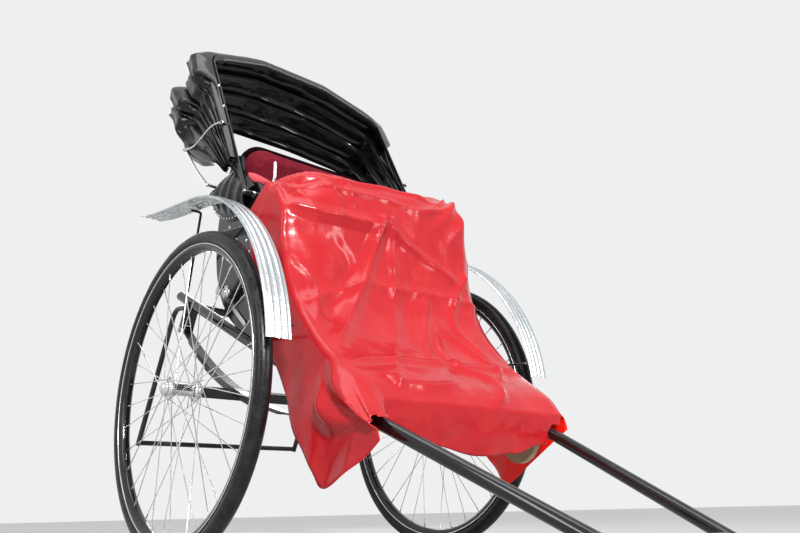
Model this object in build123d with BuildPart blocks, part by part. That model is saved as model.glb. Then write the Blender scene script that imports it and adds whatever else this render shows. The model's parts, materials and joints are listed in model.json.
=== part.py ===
from build123d import *
import os
from math import asin, atan2, cos, degrees, hypot, radians, sin, tan

# A two-seat pulled rickshaw, parked nose down on its two wheels and its two shaft tips.
# Millimetres. +Z up, -Y ahead, +X to the rickshaw's left. The origin is on the ground below
# the middle of the whole outline. "Ride" sizes are measured from the axle's middle with the
# carriage level, as it runs: y to the rear, z up.

# The body's half width and the wheels' size set most other sizes.
BODY_HALF = 430.0
WHEEL_R = 560.0

# Wheels
WHEEL_ROOM = 163.5
TRACK = 2 * (BODY_HALF + WHEEL_ROOM)
TYRE_D = 54.0
RIM_HALF_W = 21.0
RIM_WALL = 3.0
RIM_DEPTH = 27.0
TYRE_SEAT_GAP = 0.4
SPOKES_A_SIDE = 18
SPOKE_D = 3.6
SPOKE_SWEEP = 68.0
SPOKE_GAP = 0.95
HUB_BARREL_R = 21.0
HUB_FLANGE_R = 39.0
HUB_FLANGE_T = 4.0
HUB_FLANGE_X = 48.0
HUB_HALF = 66.0
HUB_CAP_R = 24.0
HUB_CAP_OUT = 14.0

# Axle and springs
SPINDLE_R = 10.0
SPINDLE_FIT = 0.05
AXLE_BAR = 34.0
HUB_SIDE_GAP = 6.0
SPRING_FRONT_Y = -470.0
SPRING_REAR_Y = 490.0
SPRING_EYE_Z = 95.0
SPRING_W = 40.0
LEAF_T = 6.0
LEAF_COUNT = 4
EYE_R = 13.0
EYE_PIN_R = 6.0
PIN_FIT = 0.1
CHEEK_T = 5.0
CHEEK_GAP = 1.0

# Shafts, which run back under the body as its side rails
SHAFT_R = 20.0
SHAFT_Z = 210.0
RAIL_X = BODY_HALF - 10.0
RAIL_REAR_Y = 620.0
BEND_Y = -600.0
BEND_R = 900.0
TIP_X = RAIL_X - 170.0
TIP_Y = -1593.0
CAP_R = 21.5
CAP_LEN = 46.0
PULL_BAR_BACK = 95.0
PULL_BAR_R = 16.0
CROSS_W = 46.0
CROSS_H = 30.0
CROSS_FRONT_Y = -560.0
CROSS_REAR_Y = 430.0
GUARD_X = RAIL_X - SHAFT_R
GUARD_Y = 690.0
GUARD_FOOT_Z = -480.0
GUARD_R = 11.0
SEAT_GAP = 0.3

# Body
SIDE_T = 16.0
BODY_FLOOR_Z = 234.0
FLOOR_T = 14.0
BODY_NOSE_Y = -760.0
SEAT_Z = 500.0
SEAT_FRONT_Y = -110.0
BOARD_T = 14.0
BACK_T = 14.0
BACK_TOP_Z = 900.0
BACK_CORNER_R = 70.0
SIDE_TOP_Z = 838.0
ARM_Z = 750.0
CUSHION_T = 85.0
BACK_PAD_T = 80.0
PAD_SIDE_GAP = 6.0

# Mudguards, placed about the axle in the parked pose
GUARD_CENTRE_Y = 85.0
GUARD_CENTRE_Z = 14.0
MUDGUARD_R = WHEEL_R + 132.0
MUDGUARD_W = 88.0
MUDGUARD_T = 2.5
MUDGUARD_X = TRACK / 2 - 7.5
MUDGUARD_LIP = 6.0
RIB_H = 3.0
RIB_W = 7.0
RIB_PITCH = 24.0
STAY_R = 5.0

# Hood: four bows on one pin each side, folded back as in use on a fine day
PIVOT_Y = 220.0
PIVOT_Z = 712.0
PIVOT_PIN_R = 6.0
BOW_REACH = 876.0
BOW_CORNER_R = 110.0
BOW_CROWN = 118.0
CROWN_SHARE = 0.38
BOW_W = 16.0
BOW_T = 5.0
BOW_TOP_T = 14.0
BOW_STEP = 6.5
BOW_FIRST_X = BODY_HALF + 7.5
BOW_FOOT_R = 15.0
BOW_ANGLES = (38.0, 32.0, 26.0, 20.0)
CLOTH_X = BOW_FIRST_X + 4 * BOW_STEP + 0.5
CLOTH_T = 12.0
CLOTH_GAP = 5.0
REAR_CLOTH_TURN = 5.0
ROLL_STANDS = (84.0, 46.0, 92.0, 60.0)
ROLL_IN = 690.0
ROLL_OUT = 920.0
CLOTH_IN = 310.0
CLOTH_HOLLOW_IN = 545.0
ROLL_THICK = 125.0
IRON_T = 5.0
IRON_W = 13.0
IRON_X = CLOTH_X + CLOTH_T + 9.0
IRON_STEP = 6.5
IRON_BOW_S = 390.0
IRON_FOOT_Y = 518.0
IRON_FOOT_Z = 694.0
KNUCKLE_Y = 833.0
KNUCKLE_Z = 811.0
IRON_PIN_R = 4.0

# Lap cover
COVER_T = 4.0
COVER_TOP_Z = 838.0
HOOK_CLEAR = 0.9
COVER_SIDE_X = BODY_HALF + 16.0

# The tip caps stand on the ground, which sets how far the carriage leans when parked.
LEAN = atan2(SHAFT_Z, -TIP_Y) + asin((WHEEL_R - CAP_R) / hypot(TIP_Y, SHAFT_Z))


def parked(y, z):
    """A ride point's y and z about the axle with the carriage parked."""
    return y * cos(LEAN) - z * sin(LEAN), y * sin(LEAN) + z * cos(LEAN)


# The axle stands where the whole outline, shaft tips to tip guard, is centred on the origin.
FRONT_REACH = parked(TIP_Y, SHAFT_Z)[0] - CAP_R
REAR_REACH = parked(GUARD_Y, GUARD_FOOT_Z)[0] + GUARD_R
AXLE_Y = -(FRONT_REACH + REAR_REACH) / 2

AXLE_POINT = (0, AXLE_Y, WHEEL_R)
RIDE = Plane(origin=AXLE_POINT, x_dir=(1, 0, 0), z_dir=(0, -sin(LEAN), cos(LEAN)))
SIDES = {"right": -1, "left": 1}
SHAFT_SLOPE = (RAIL_X - TIP_X) / (BEND_Y - TIP_Y)


def side_plane(x=0.0):
    """Side view of the carriage: local x is ride y, local y is ride z, normal +X."""
    return Plane(origin=RIDE.from_local_coords((x, 0, 0)), x_dir=RIDE.y_dir, z_dir=RIDE.x_dir)


def parked_side_plane(x=0.0):
    """Side view about the axle in the parked pose, for what isn't drawn level."""
    return Plane(origin=(x, AXLE_Y, WHEEL_R), x_dir=(0, 1, 0), z_dir=(1, 0, 0))


def hood_plane(angle, x=0.0):
    """Side view about the hood's pin, local x along a bow that lies at the given angle."""
    origin = RIDE.from_local_coords((x, PIVOT_Y, PIVOT_Z))
    lift = radians(angle)
    along = RIDE.y_dir * cos(lift) + RIDE.z_dir * sin(lift)
    return Plane(origin=origin, x_dir=along, z_dir=RIDE.x_dir)


def bow_plane(angle):
    """A bow's own plane: local x across the carriage, local y out from the pin."""
    lift = radians(angle)
    along = RIDE.y_dir * cos(lift) + RIDE.z_dir * sin(lift)
    origin = RIDE.from_local_coords((0, PIVOT_Y, PIVOT_Z))
    return Plane(origin=origin, x_dir=RIDE.x_dir, z_dir=RIDE.x_dir.cross(along))


def slab_x(side, near, thick):
    """Plane position and extrusion for a plate from near to near + thick, out on one side."""
    return side_plane(side * near), side * thick


def front_plane(y):
    """Front view at a ride y: local x across the carriage, local y down from the axle."""
    origin = RIDE.from_local_coords((0, y, 0))
    return Plane(origin=origin, x_dir=RIDE.x_dir, z_dir=RIDE.y_dir)


def save(part, label):
    part.label = label
    export_step(part, f"parts/{label}.step")


os.makedirs("parts", exist_ok=True)


def shaft_path(side):
    return [
        (side * RAIL_X, RAIL_REAR_Y),
        (side * RAIL_X, BEND_Y),
        (side * TIP_X, TIP_Y),
    ]


def make_shaft(side, growth=0.0):
    """One shaft with its rail as a round bar; growth makes the tool that cuts its seats."""
    with BuildPart() as shaft:
        with BuildLine(RIDE.offset(SHAFT_Z)) as path:
            FilletPolyline(*shaft_path(side), radius=BEND_R)
        with BuildSketch(Plane(origin=path.line @ 0, z_dir=path.line % 0)):
            Circle(SHAFT_R + growth)
        sweep()
    return shaft.part


shafts = {name: make_shaft(side) for name, side in SIDES.items()}
shaft_cutters = {name: make_shaft(side, SEAT_GAP) for name, side in SIDES.items()}
for name, shaft in shafts.items():
    save(shaft, f"shaft_{name}")

with BuildPart() as shaft_caps:
    for side in SIDES.values():
        tip = RIDE.from_local_coords((side * TIP_X, TIP_Y, SHAFT_Z))
        back = RIDE.from_local_coords((side * (TIP_X + SHAFT_SLOPE), TIP_Y + 1, SHAFT_Z)) - tip
        with BuildSketch(Plane(origin=tip, x_dir=back, z_dir=RIDE.z_dir)):
            Circle(CAP_R)
            Rectangle(CAP_LEN, 2 * CAP_R, align=(Align.MIN, Align.CENTER))
            Rectangle(2 * CAP_LEN, CAP_R, align=(Align.CENTER, Align.MIN), mode=Mode.INTERSECT)
        revolve(axis=Axis(tip, back))
    for cutter in shaft_cutters.values():
        add(cutter, mode=Mode.SUBTRACT)
save(shaft_caps.part, "shaft_caps")


def cross_bar(y, width, height):
    """A bar across the carriage between the two shafts, its ends hollowed to seat on them."""
    with BuildPart() as bar:
        with BuildSketch(side_plane(-RAIL_X)) as section:
            with Locations((y, SHAFT_Z)):
                Rectangle(width, height)
            fillet(section.vertices(), height / 5)
        extrude(amount=2 * RAIL_X)
        for cutter in shaft_cutters.values():
            add(cutter, mode=Mode.SUBTRACT)
    return bar.part.solids().sort_by(SortBy.VOLUME)[-1]


save(cross_bar(CROSS_FRONT_Y, CROSS_W, CROSS_H), "cross_member_front")
save(cross_bar(CROSS_REAR_Y, CROSS_W, CROSS_H), "cross_member_rear")

with BuildPart() as pull_bar:
    with BuildSketch(side_plane(-RAIL_X)):
        with Locations((TIP_Y + PULL_BAR_BACK, SHAFT_Z)):
            Circle(PULL_BAR_R)
    extrude(amount=2 * RAIL_X)
    for cutter in shaft_cutters.values():
        add(cutter, mode=Mode.SUBTRACT)
save(pull_bar.part.solids().sort_by(SortBy.VOLUME)[-1], "pull_bar")


# Axle: a square bar with a round spindle at each end, on which the hubs turn.
SPINDLE_X = TRACK / 2 - HUB_HALF - HUB_SIDE_GAP
with BuildPart() as axle:
    with BuildSketch(side_plane(-SPINDLE_X)) as bar_end:
        Rectangle(AXLE_BAR, AXLE_BAR)
        fillet(bar_end.vertices(), 4)
    extrude(amount=2 * SPINDLE_X)
    with BuildSketch(side_plane(-TRACK / 2 - HUB_HALF + HUB_SIDE_GAP)):
        Circle(SPINDLE_R)
    extrude(amount=TRACK + 2 * HUB_HALF - 2 * HUB_SIDE_GAP)
save(axle.part, "axle")


def leaf_arc(sag_z, reach_front, reach_rear, thick):
    """One leaf's side view: a ring sector about the springs' common centre above the axle."""
    radius = SPRING_BOW_R + sag_z
    turn_front = degrees(asin(reach_front / radius))
    turn_rear = degrees(asin(reach_rear / radius))
    turn = turn_front + turn_rear
    with BuildSketch() as leaf:
        with BuildLine():
            lower = CenterArc((0, SPRING_BOW_CENTRE), radius, -90 - turn_front, turn)
            upper = CenterArc((0, SPRING_BOW_CENTRE), radius - thick, -90 - turn_front, turn)
            Line(lower @ 0, upper @ 0)
            Line(lower @ 1, upper @ 1)
        make_face()
    return leaf.sketch


# Leaf springs: a main leaf with an eye at each end, and shorter leaves under it on the axle.
LEAF_BASE_Z = AXLE_BAR / 2 + SEAT_GAP
MAIN_LEAF_Z = LEAF_BASE_Z + (LEAF_COUNT - 1) * LEAF_T
SPRING_RISE = SPRING_EYE_Z - MAIN_LEAF_Z
SPRING_SPAN = min(-SPRING_FRONT_Y, SPRING_REAR_Y)
SPRING_BOW_R = (SPRING_SPAN**2 + SPRING_RISE**2) / (2 * SPRING_RISE)
SPRING_BOW_CENTRE = MAIN_LEAF_Z + SPRING_BOW_R


def spring_z(y):
    """Height of the main leaf's underside."""
    return SPRING_BOW_CENTRE - (SPRING_BOW_R**2 - y**2) ** 0.5


def make_spring(side):
    with BuildPart() as spring:
        with BuildSketch(side_plane(side * RAIL_X)):
            for row in range(LEAF_COUNT):
                share = 1 - row / (LEAF_COUNT + 1)
                add(leaf_arc(row * LEAF_T, -SPRING_FRONT_Y * share, SPRING_REAR_Y * share, LEAF_T))
            for y in (SPRING_FRONT_Y, SPRING_REAR_Y):
                with Locations((y, spring_z(y) + LEAF_T / 2)):
                    Circle(EYE_R)
        extrude(amount=SPRING_W / 2, both=True)
        with BuildSketch(side_plane(side * RAIL_X)):
            for y in (SPRING_FRONT_Y, SPRING_REAR_Y):
                with Locations((y, spring_z(y) + LEAF_T / 2)):
                    Circle(EYE_PIN_R + PIN_FIT)
        extrude(amount=SPRING_W, both=True, mode=Mode.SUBTRACT)
    return spring.part


for name, side in SIDES.items():
    save(make_spring(side), f"leaf_spring_{name}")

# Each spring eye hangs on a pin between two cheeks below the rail.
CHEEK_IN = SPRING_W / 2 + CHEEK_GAP
HANGER_TOP = SHAFT_Z + SHAFT_R / 2
with BuildPart() as spring_hangers:
    for side in SIDES.values():
        for y in (SPRING_FRONT_Y, SPRING_REAR_Y):
            eye_z = spring_z(y) + LEAF_T / 2
            with BuildSketch(side_plane(side * RAIL_X)):
                with Locations((y, eye_z)):
                    Circle(EYE_R + 2)
                    Rectangle(2 * EYE_R, HANGER_TOP - eye_z, align=(Align.CENTER, Align.MIN))
            extrude(amount=CHEEK_IN + CHEEK_T, both=True)
            with BuildSketch(side_plane(side * RAIL_X)):
                with Locations((y, eye_z)):
                    Rectangle(4 * EYE_R, 2 * (EYE_R + 4))
            extrude(amount=CHEEK_IN, both=True, mode=Mode.SUBTRACT)
            with BuildSketch(side_plane(side * RAIL_X)):
                with Locations((y, eye_z)):
                    Circle(EYE_PIN_R)
            extrude(amount=CHEEK_IN + CHEEK_T, both=True)
    for cutter in shaft_cutters.values():
        add(cutter, mode=Mode.SUBTRACT)
save(spring_hangers.part, "spring_hangers")

# Tip guard: two legs down from the rails' rear ends to a bar that stops a backward tip.
with BuildPart() as guard_legs:
    for side in SIDES.values():
        with BuildLine() as leg_path:
            FilletPolyline(
                RIDE.from_local_coords((side * GUARD_X, RAIL_REAR_Y - 90, SHAFT_Z - SHAFT_R)),
                RIDE.from_local_coords((side * GUARD_X, GUARD_Y, SHAFT_Z - 70)),
                RIDE.from_local_coords((side * GUARD_X, GUARD_Y, GUARD_FOOT_Z)),
                radius=60,
            )
        with BuildSketch(Plane(origin=leg_path.line @ 0, z_dir=leg_path.line % 0)):
            Circle(GUARD_R)
        sweep()
    for cutter in shaft_cutters.values():
        add(cutter, mode=Mode.SUBTRACT)
save(Compound(guard_legs.part.solids().sort_by(SortBy.VOLUME)[-2:]), "tip_guard_legs")

with BuildPart() as guard_bar:
    with BuildSketch(side_plane(-GUARD_X + GUARD_R + SEAT_GAP)):
        with Locations((GUARD_Y, GUARD_FOOT_Z + GUARD_R)):
            Circle(GUARD_R)
    extrude(amount=2 * (GUARD_X - GUARD_R - SEAT_GAP))
save(guard_bar.part, "tip_guard_bar")


# Body sides: floor line, swept-up tail, back, arm and the long S down to the nose.
def side_outline():
    with BuildLine() as outline:
        Line((BODY_NOSE_Y, BODY_FLOOR_Z), (70, BODY_FLOOR_Z))
        ThreePointArc((70, BODY_FLOOR_Z), (262, 312), (400, 480))
        ThreePointArc((400, 480), (460.5, 660), (456.1, SIDE_TOP_Z))
        Line((456.1, SIDE_TOP_Z), (402, SIDE_TOP_Z + 4))
        ThreePointArc((402, SIDE_TOP_Z + 4), (345, 788), (262, ARM_Z + 12))
        Line((262, ARM_Z + 12), (110, ARM_Z))
        ThreePointArc((110, ARM_Z), (-30, 705), (-110, 600))
        ThreePointArc((-110, 600), (-240, 440), (-440, 350))
        ThreePointArc((-440, 350), (-620, 318), (BODY_NOSE_Y, 268))
        Line((BODY_NOSE_Y, 268), (BODY_NOSE_Y, BODY_FLOOR_Z))
    return outline.line


for name, side in SIDES.items():
    plane, amount = slab_x(side, BODY_HALF - SIDE_T, SIDE_T)
    with BuildPart() as body_side:
        with BuildSketch(plane):
            with BuildLine():
                add(side_outline())
            make_face()
        extrude(amount=amount)
        for cutter in shaft_cutters.values():
            add(cutter, mode=Mode.SUBTRACT)
    save(body_side.part, f"body_side_{name}")

INNER = BODY_HALF - SIDE_T - SEAT_GAP


def across(label, half_width, side_view, round_top=None):
    """A panel drawn out across the carriage; round_top is the height of its rounded corners."""
    with BuildPart() as panel:
        with BuildSketch(side_plane()):
            add(side_view)
        extrude(amount=half_width, both=True)
        if round_top:
            with BuildSketch(front_plane(0)) as back_view:
                with Locations((0, -round_top / 2)):
                    Rectangle(half_width * 2, round_top)
                fillet(back_view.vertices().sort_by(Axis.Y)[:2], BACK_CORNER_R)
            extrude(amount=RAIL_REAR_Y, mode=Mode.INTERSECT)
    save(panel.part, label)
    return panel.part


with BuildSketch() as back_face:
    with BuildLine():
        inner_top = (428 - BACK_T, BACK_TOP_Z)
        ThreePointArc((150, 262), (283, 345), (395, 500))
        ThreePointArc((395, 500), (452, 690), (428, BACK_TOP_Z))
        Line((428, BACK_TOP_Z), inner_top)
        ThreePointArc(inner_top, (452 - BACK_T, 690), (395 - BACK_T, 505))
        ThreePointArc((395 - BACK_T, 505), (275, 358), (142, 274))
        Line((142, 274), (150, 262))
    make_face()


def box_face(y0, z0, y1, z1):
    with BuildSketch() as box:
        with Locations(((y0 + y1) / 2, (z0 + z1) / 2)):
            Rectangle(y1 - y0, z1 - z0)
    return box.sketch


FLOOR_TOP = BODY_FLOOR_Z + FLOOR_T
across("back_panel", INNER, back_face.sketch, BACK_TOP_Z)
TOE_BACK_Y = BODY_NOSE_Y + BOARD_T
RISER_BACK_Y = SEAT_FRONT_Y + BOARD_T
across(
    "footboard", INNER,
    box_face(TOE_BACK_Y + SEAT_GAP, BODY_FLOOR_Z, SEAT_FRONT_Y - SEAT_GAP, FLOOR_TOP),
)
across(
    "seat_riser", INNER,
    box_face(SEAT_FRONT_Y, BODY_FLOOR_Z, RISER_BACK_Y, SEAT_Z - BOARD_T - SEAT_GAP),
)
across("seat_floor", INNER, box_face(RISER_BACK_Y + SEAT_GAP, BODY_FLOOR_Z, 128, FLOOR_TOP))
across("seat_board", INNER, box_face(SEAT_FRONT_Y - 12, SEAT_Z - BOARD_T, 362, SEAT_Z))
across("toe_board", INNER, box_face(BODY_NOSE_Y, BODY_FLOOR_Z, TOE_BACK_Y, FLOOR_TOP + 18))


with BuildSketch() as cushion_face:
    with BuildLine():
        Polyline(
            (SEAT_FRONT_Y - 15, SEAT_Z + SEAT_GAP),
            (340, SEAT_Z + SEAT_GAP),
            (330, SEAT_Z + CUSHION_T - 10),
            (SEAT_FRONT_Y - 5, SEAT_Z + CUSHION_T),
            close=True,
        )
    make_face()
    fillet(cushion_face.vertices(), 18)

BACK_PAD_FRONT = 430 - BACK_T - BACK_PAD_T
with BuildSketch() as behind_back:
    with BuildLine():
        low = (395 - BACK_T - SEAT_GAP, 505)
        high = (428 - BACK_T - SEAT_GAP, BACK_TOP_Z)
        ThreePointArc(low, (452 - BACK_T - SEAT_GAP, 690), high)
        Polyline(high, (600, BACK_TOP_Z), (600, 505), low)
    make_face()
with BuildSketch() as back_pad_face:
    with BuildLine():
        Polyline(
            (BACK_PAD_FRONT - 12, SEAT_Z + CUSHION_T + 2),
            (500, SEAT_Z + CUSHION_T + 2),
            (500, BACK_TOP_Z - 8),
            (BACK_PAD_FRONT + 10, BACK_TOP_Z - 2),
            (BACK_PAD_FRONT - 2, 740),
            close=True,
        )
    make_face()
    add(behind_back.sketch, mode=Mode.SUBTRACT)

PAD_HALF = INNER - PAD_SIDE_GAP
across("seat_cushion", PAD_HALF, cushion_face.sketch)
across("back_cushion", PAD_HALF, back_pad_face.sketch, BACK_TOP_Z)

for name, side in SIDES.items():
    plane, amount = slab_x(side, BODY_HALF - SIDE_T - 34, 34 + SIDE_T)
    with BuildPart() as arm_pad:
        with BuildSketch(plane):
            with BuildLine():
                Polyline((165, ARM_Z - 32), (318, ARM_Z - 18), (322, ARM_Z + 40), (262, ARM_Z + 34),
                         (172, ARM_Z + 24), close=True)
            make_face()
        extrude(amount=amount)
        for other, other_side in SIDES.items():
            with BuildSketch(side_plane(other_side * (BODY_HALF - SIDE_T - SEAT_GAP))):
                with BuildLine():
                    offset(side_outline(), amount=SEAT_GAP)
                make_face()
            extrude(amount=other_side * (SIDE_T + 10), mode=Mode.SUBTRACT)
    save(arm_pad.part.solids().sort_by(SortBy.VOLUME)[-1], f"arm_pad_{name}")


# Mudguards: ribbed strips on an arc about a centre near the axle, then a flat flared tail.
MUDGUARD_FRONT = 175.4
MUDGUARD_CREST = 98.3
TAIL_FLAT = 215.0
TAIL_BEND_R = 2900.0
TAIL_BEND_TURN = 5.1
# Each band across a mudguard: its middle, width, and inner and outer height on the strip.
MUDGUARD_BANDS = [(0.0, MUDGUARD_W, 0.0, MUDGUARD_T)]
for edge in (-1, 1):
    lip_middle = edge * (MUDGUARD_W - MUDGUARD_T) / 2
    MUDGUARD_BANDS.append((lip_middle, MUDGUARD_T, -MUDGUARD_LIP, MUDGUARD_T / 2))
for rib in (-1, 0, 1):
    for width, height in ((RIB_W * 2, RIB_H / 2), (RIB_W, RIB_H)):
        MUDGUARD_BANDS.append((rib * RIB_PITCH, width, MUDGUARD_T / 2, MUDGUARD_T + height))


def mudguard_point(angle, inset=0.0):
    """Parked y and z about the axle of a point on the mudguard, past its crest on the flat."""
    turn = radians(max(angle, MUDGUARD_CREST))
    past = MUDGUARD_R * radians(max(MUDGUARD_CREST - angle, 0))
    reach = MUDGUARD_R - inset
    return (
        GUARD_CENTRE_Y + reach * cos(turn) + past * sin(turn),
        GUARD_CENTRE_Z + reach * sin(turn) - past * cos(turn),
    )


def mudguard_line(height):
    """Side view of one height on the strip: the arc, the straight and the tail's slight bend."""
    turn = radians(MUDGUARD_CREST)
    crest_y, crest_z = mudguard_point(MUDGUARD_CREST, -height)
    flat_y, flat_z = crest_y + TAIL_FLAT * sin(turn), crest_z - TAIL_FLAT * cos(turn)
    bend_r = TAIL_BEND_R - height
    bend_centre = (flat_y + bend_r * cos(turn), flat_z + bend_r * sin(turn))
    with BuildLine() as line:
        CenterArc((GUARD_CENTRE_Y, GUARD_CENTRE_Z), MUDGUARD_R + height, MUDGUARD_FRONT,
                  MUDGUARD_CREST - MUDGUARD_FRONT)
        Line((crest_y, crest_z), (flat_y, flat_z))
        CenterArc(bend_centre, bend_r, MUDGUARD_CREST - 180, TAIL_BEND_TURN)
    return line.wires()[0]


def mudguard_band(low, high):
    with BuildSketch() as band:
        with BuildLine():
            inner, outer = mudguard_line(low), mudguard_line(high)
            add(inner)
            add(outer)
            Line(inner @ 0, outer @ 0)
            Line(inner @ 1, outer @ 1)
        make_face()
    return band.sketch


for name, side in SIDES.items():
    with BuildPart() as mudguard:
        for middle, width, low, high in MUDGUARD_BANDS:
            with BuildSketch(parked_side_plane(side * MUDGUARD_X + middle)):
                add(mudguard_band(low, high))
            extrude(amount=width / 2, both=True)
    save(mudguard.part, f"mudguard_{name}")

# Each mudguard stay: angle of its top on the arc, and its foot's x and ride y and z.
STAY_X = MUDGUARD_X - 30.0
STAYS = (
    (171.0, RAIL_X, -110.0, SHAFT_Z),
    (112.0, BODY_HALF - SIDE_T / 2, 130.0, 570.0),
    (90.0, RAIL_X, 560.0, SHAFT_Z),
)
for name, side in SIDES.items():
    with BuildPart() as stays:
        for angle, foot_x, foot_y, foot_z in STAYS:
            top_y, top_z = mudguard_point(angle, MUDGUARD_LIP + STAY_R + SEAT_GAP)
            with BuildLine() as stay_path:
                FilletPolyline(
                    (side * (STAY_X + 14), AXLE_Y + top_y, WHEEL_R + top_z),
                    (side * (STAY_X - 26), AXLE_Y + top_y, WHEEL_R + top_z),
                    RIDE.from_local_coords((side * foot_x, foot_y, foot_z)),
                    radius=14,
                )
            with BuildSketch(Plane(origin=stay_path.line @ 0, z_dir=stay_path.line % 0)):
                Circle(STAY_R)
            sweep(path=stay_path.line)
        with BuildSketch(side_plane()):
            Rectangle(WHEEL_R * 4, WHEEL_R * 4)
        extrude(amount=BODY_HALF + SEAT_GAP, both=True, mode=Mode.SUBTRACT)
        for cutter in shaft_cutters.values():
            add(cutter, mode=Mode.SUBTRACT)
    save(Compound(stays.part.solids().sort_by(SortBy.VOLUME)[-3:]), f"mudguard_stays_{name}")


# Hood: pin plates, four nested bows, the folded cloth between them and the folding irons.
def polar(angle, along, off=0.0):
    """A point by its distance along and off a bow that lies at the given angle."""
    turn = radians(angle)
    return along * cos(turn) - off * sin(turn), along * sin(turn) + off * cos(turn)


PIN_END_X = BOW_FIRST_X + len(BOW_ANGLES) * BOW_STEP
PLATE_IN = BODY_HALF + SEAT_GAP
PLATE_OUT = BOW_FIRST_X - 1.5
FOOT_OFFSET = (IRON_FOOT_Y - PIVOT_Y, IRON_FOOT_Z - PIVOT_Z)
with BuildPart() as hood_pins:
    for side in SIDES.values():
        with BuildSketch(hood_plane(0, side * PLATE_IN)):
            with Locations((0, 0), FOOT_OFFSET):
                Circle(BOW_FOOT_R)
            make_hull()
        extrude(amount=side * (PLATE_OUT - PLATE_IN))
        with BuildSketch(hood_plane(0, side * PLATE_IN)):
            Circle(PIVOT_PIN_R)
        extrude(amount=side * (PIN_END_X - PLATE_IN))
        with BuildSketch(hood_plane(0, side * PIN_END_X)):
            Circle(PIVOT_PIN_R + 4)
        extrude(amount=side * 4)
        with BuildSketch(hood_plane(0, side * PLATE_IN)):
            with Locations(FOOT_OFFSET):
                Circle(IRON_PIN_R + 3)
        extrude(amount=side * (IRON_X - 1 - PLATE_IN))
        with BuildSketch(hood_plane(0, side * PLATE_IN)):
            with Locations(FOOT_OFFSET):
                Circle(IRON_PIN_R)
        extrude(amount=side * (IRON_X + IRON_T + 0.5 - PLATE_IN))
save(hood_pins.part, "hood_pins")


def arched(half, reach):
    """Corners of a bow seen square on: two legs from the pin and a crowned top."""
    crest = CROWN_SHARE * half
    return [
        (-half, 0), (-half, reach), (-crest, reach + BOW_CROWN),
        (crest, reach + BOW_CROWN), (half, reach), (half, 0),
    ]


def bow_outline(bow_in):
    """A bow seen square on: thin legs from the pin, a rounded shoulder and a deeper top."""
    with BuildSketch() as bow_view:
        with BuildLine():
            outer = FilletPolyline(*arched(bow_in + BOW_T, BOW_REACH), radius=BOW_CORNER_R)
            inner = FilletPolyline(
                *arched(bow_in, BOW_REACH - BOW_TOP_T), radius=BOW_CORNER_R - BOW_T,
            )
            Line(outer @ 0, inner @ 0)
            Line(outer @ 1, inner @ 1)
        make_face()
    return bow_view.sketch


for place, angle in enumerate(BOW_ANGLES):
    bow_in = BOW_FIRST_X + (len(BOW_ANGLES) - 1 - place) * BOW_STEP
    with BuildPart() as bow:
        with BuildSketch(bow_plane(angle)):
            add(bow_outline(bow_in))
        extrude(amount=BOW_W / 2, both=True)
        for side in SIDES.values():
            with BuildSketch(hood_plane(angle, side * bow_in)):
                Circle(BOW_FOOT_R)
            extrude(amount=side * BOW_T)
        with BuildSketch(hood_plane(angle)):
            Circle(PIVOT_PIN_R + SPINDLE_FIT)
        extrude(amount=PIN_END_X, both=True, mode=Mode.SUBTRACT)
        if place == 0:
            for side in SIDES.values():
                with BuildSketch(hood_plane(angle, side * (bow_in + BOW_T))):
                    with Locations((IRON_BOW_S, 0)):
                        Circle(IRON_PIN_R)
                extrude(amount=side * (IRON_X + IRON_STEP + IRON_T + 0.5 - bow_in - BOW_T))
    save(bow.part, f"hood_bow_{place + 1}")


def cloth_wedge(top_angle, low_angle, near, far, inset=0.0):
    """Side view of the cloth folded between two bows, from near to far along them."""
    under = -(BOW_W / 2 + SEAT_GAP + inset)
    above = BOW_W / 2 + CLOTH_GAP + inset
    with BuildSketch() as wedge:
        with BuildLine():
            Polyline(
                polar(top_angle, near, under), polar(top_angle, far, under),
                polar(low_angle, far, above), polar(low_angle, near, above), close=True,
            )
        make_face()
    return wedge.sketch


def cloth_outline(stand, inset):
    """The folded cloth seen square on: straight side cloth that swells into the top's fold."""
    side_x, roll_x = CLOTH_X + CLOTH_T - inset, CLOTH_X + stand - inset
    crest = CROWN_SHARE * roll_x
    half = [
        (side_x, 0), (side_x, ROLL_IN + inset), (roll_x, ROLL_IN + ROLL_THICK / 2 + inset),
        (roll_x, ROLL_OUT - inset), (crest, ROLL_OUT + BOW_CROWN - inset),
    ]
    with BuildSketch() as cloth_view:
        with BuildLine():
            Polyline(*half, *[(-x, y) for x, y in reversed(half)], close=True)
        make_face()
    return cloth_view.sketch


LOW_ANGLES = BOW_ANGLES[1:] + (BOW_ANGLES[-1] - REAR_CLOTH_TURN,)
ROLL_FAR = ROLL_OUT + BOW_CROWN + CLOTH_T
for place, (angle, low_angle) in enumerate(zip(BOW_ANGLES, LOW_ANGLES)):
    with BuildPart() as cloth:
        for inset, near, mode in (
            (0.0, CLOTH_IN, Mode.ADD), (CLOTH_T, CLOTH_HOLLOW_IN, Mode.SUBTRACT),
        ):
            with BuildPart(mode=Mode.PRIVATE) as layer:
                with BuildSketch(hood_plane(0)):
                    add(cloth_wedge(angle, low_angle, near, ROLL_FAR, inset))
                extrude(amount=CLOTH_X + ROLL_STANDS[place], both=True)
                with BuildSketch(bow_plane((angle + low_angle) / 2)):
                    add(cloth_outline(ROLL_STANDS[place], inset))
                extrude(amount=ROLL_FAR / 2, both=True, mode=Mode.INTERSECT)
            add(layer.part, mode=mode)
        with BuildSketch(hood_plane(0)):
            add(cloth_wedge(angle + 3, low_angle - 3, CLOTH_IN / 2, ROLL_OUT - ROLL_THICK))
        extrude(amount=CLOTH_X, both=True, mode=Mode.SUBTRACT)
    save(cloth.part, f"hood_cloth_{place + 1}")


BOW_PIN = polar(BOW_ANGLES[0], IRON_BOW_S)
KNUCKLE = (KNUCKLE_Y - PIVOT_Y, KNUCKLE_Z - PIVOT_Z)


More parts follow.
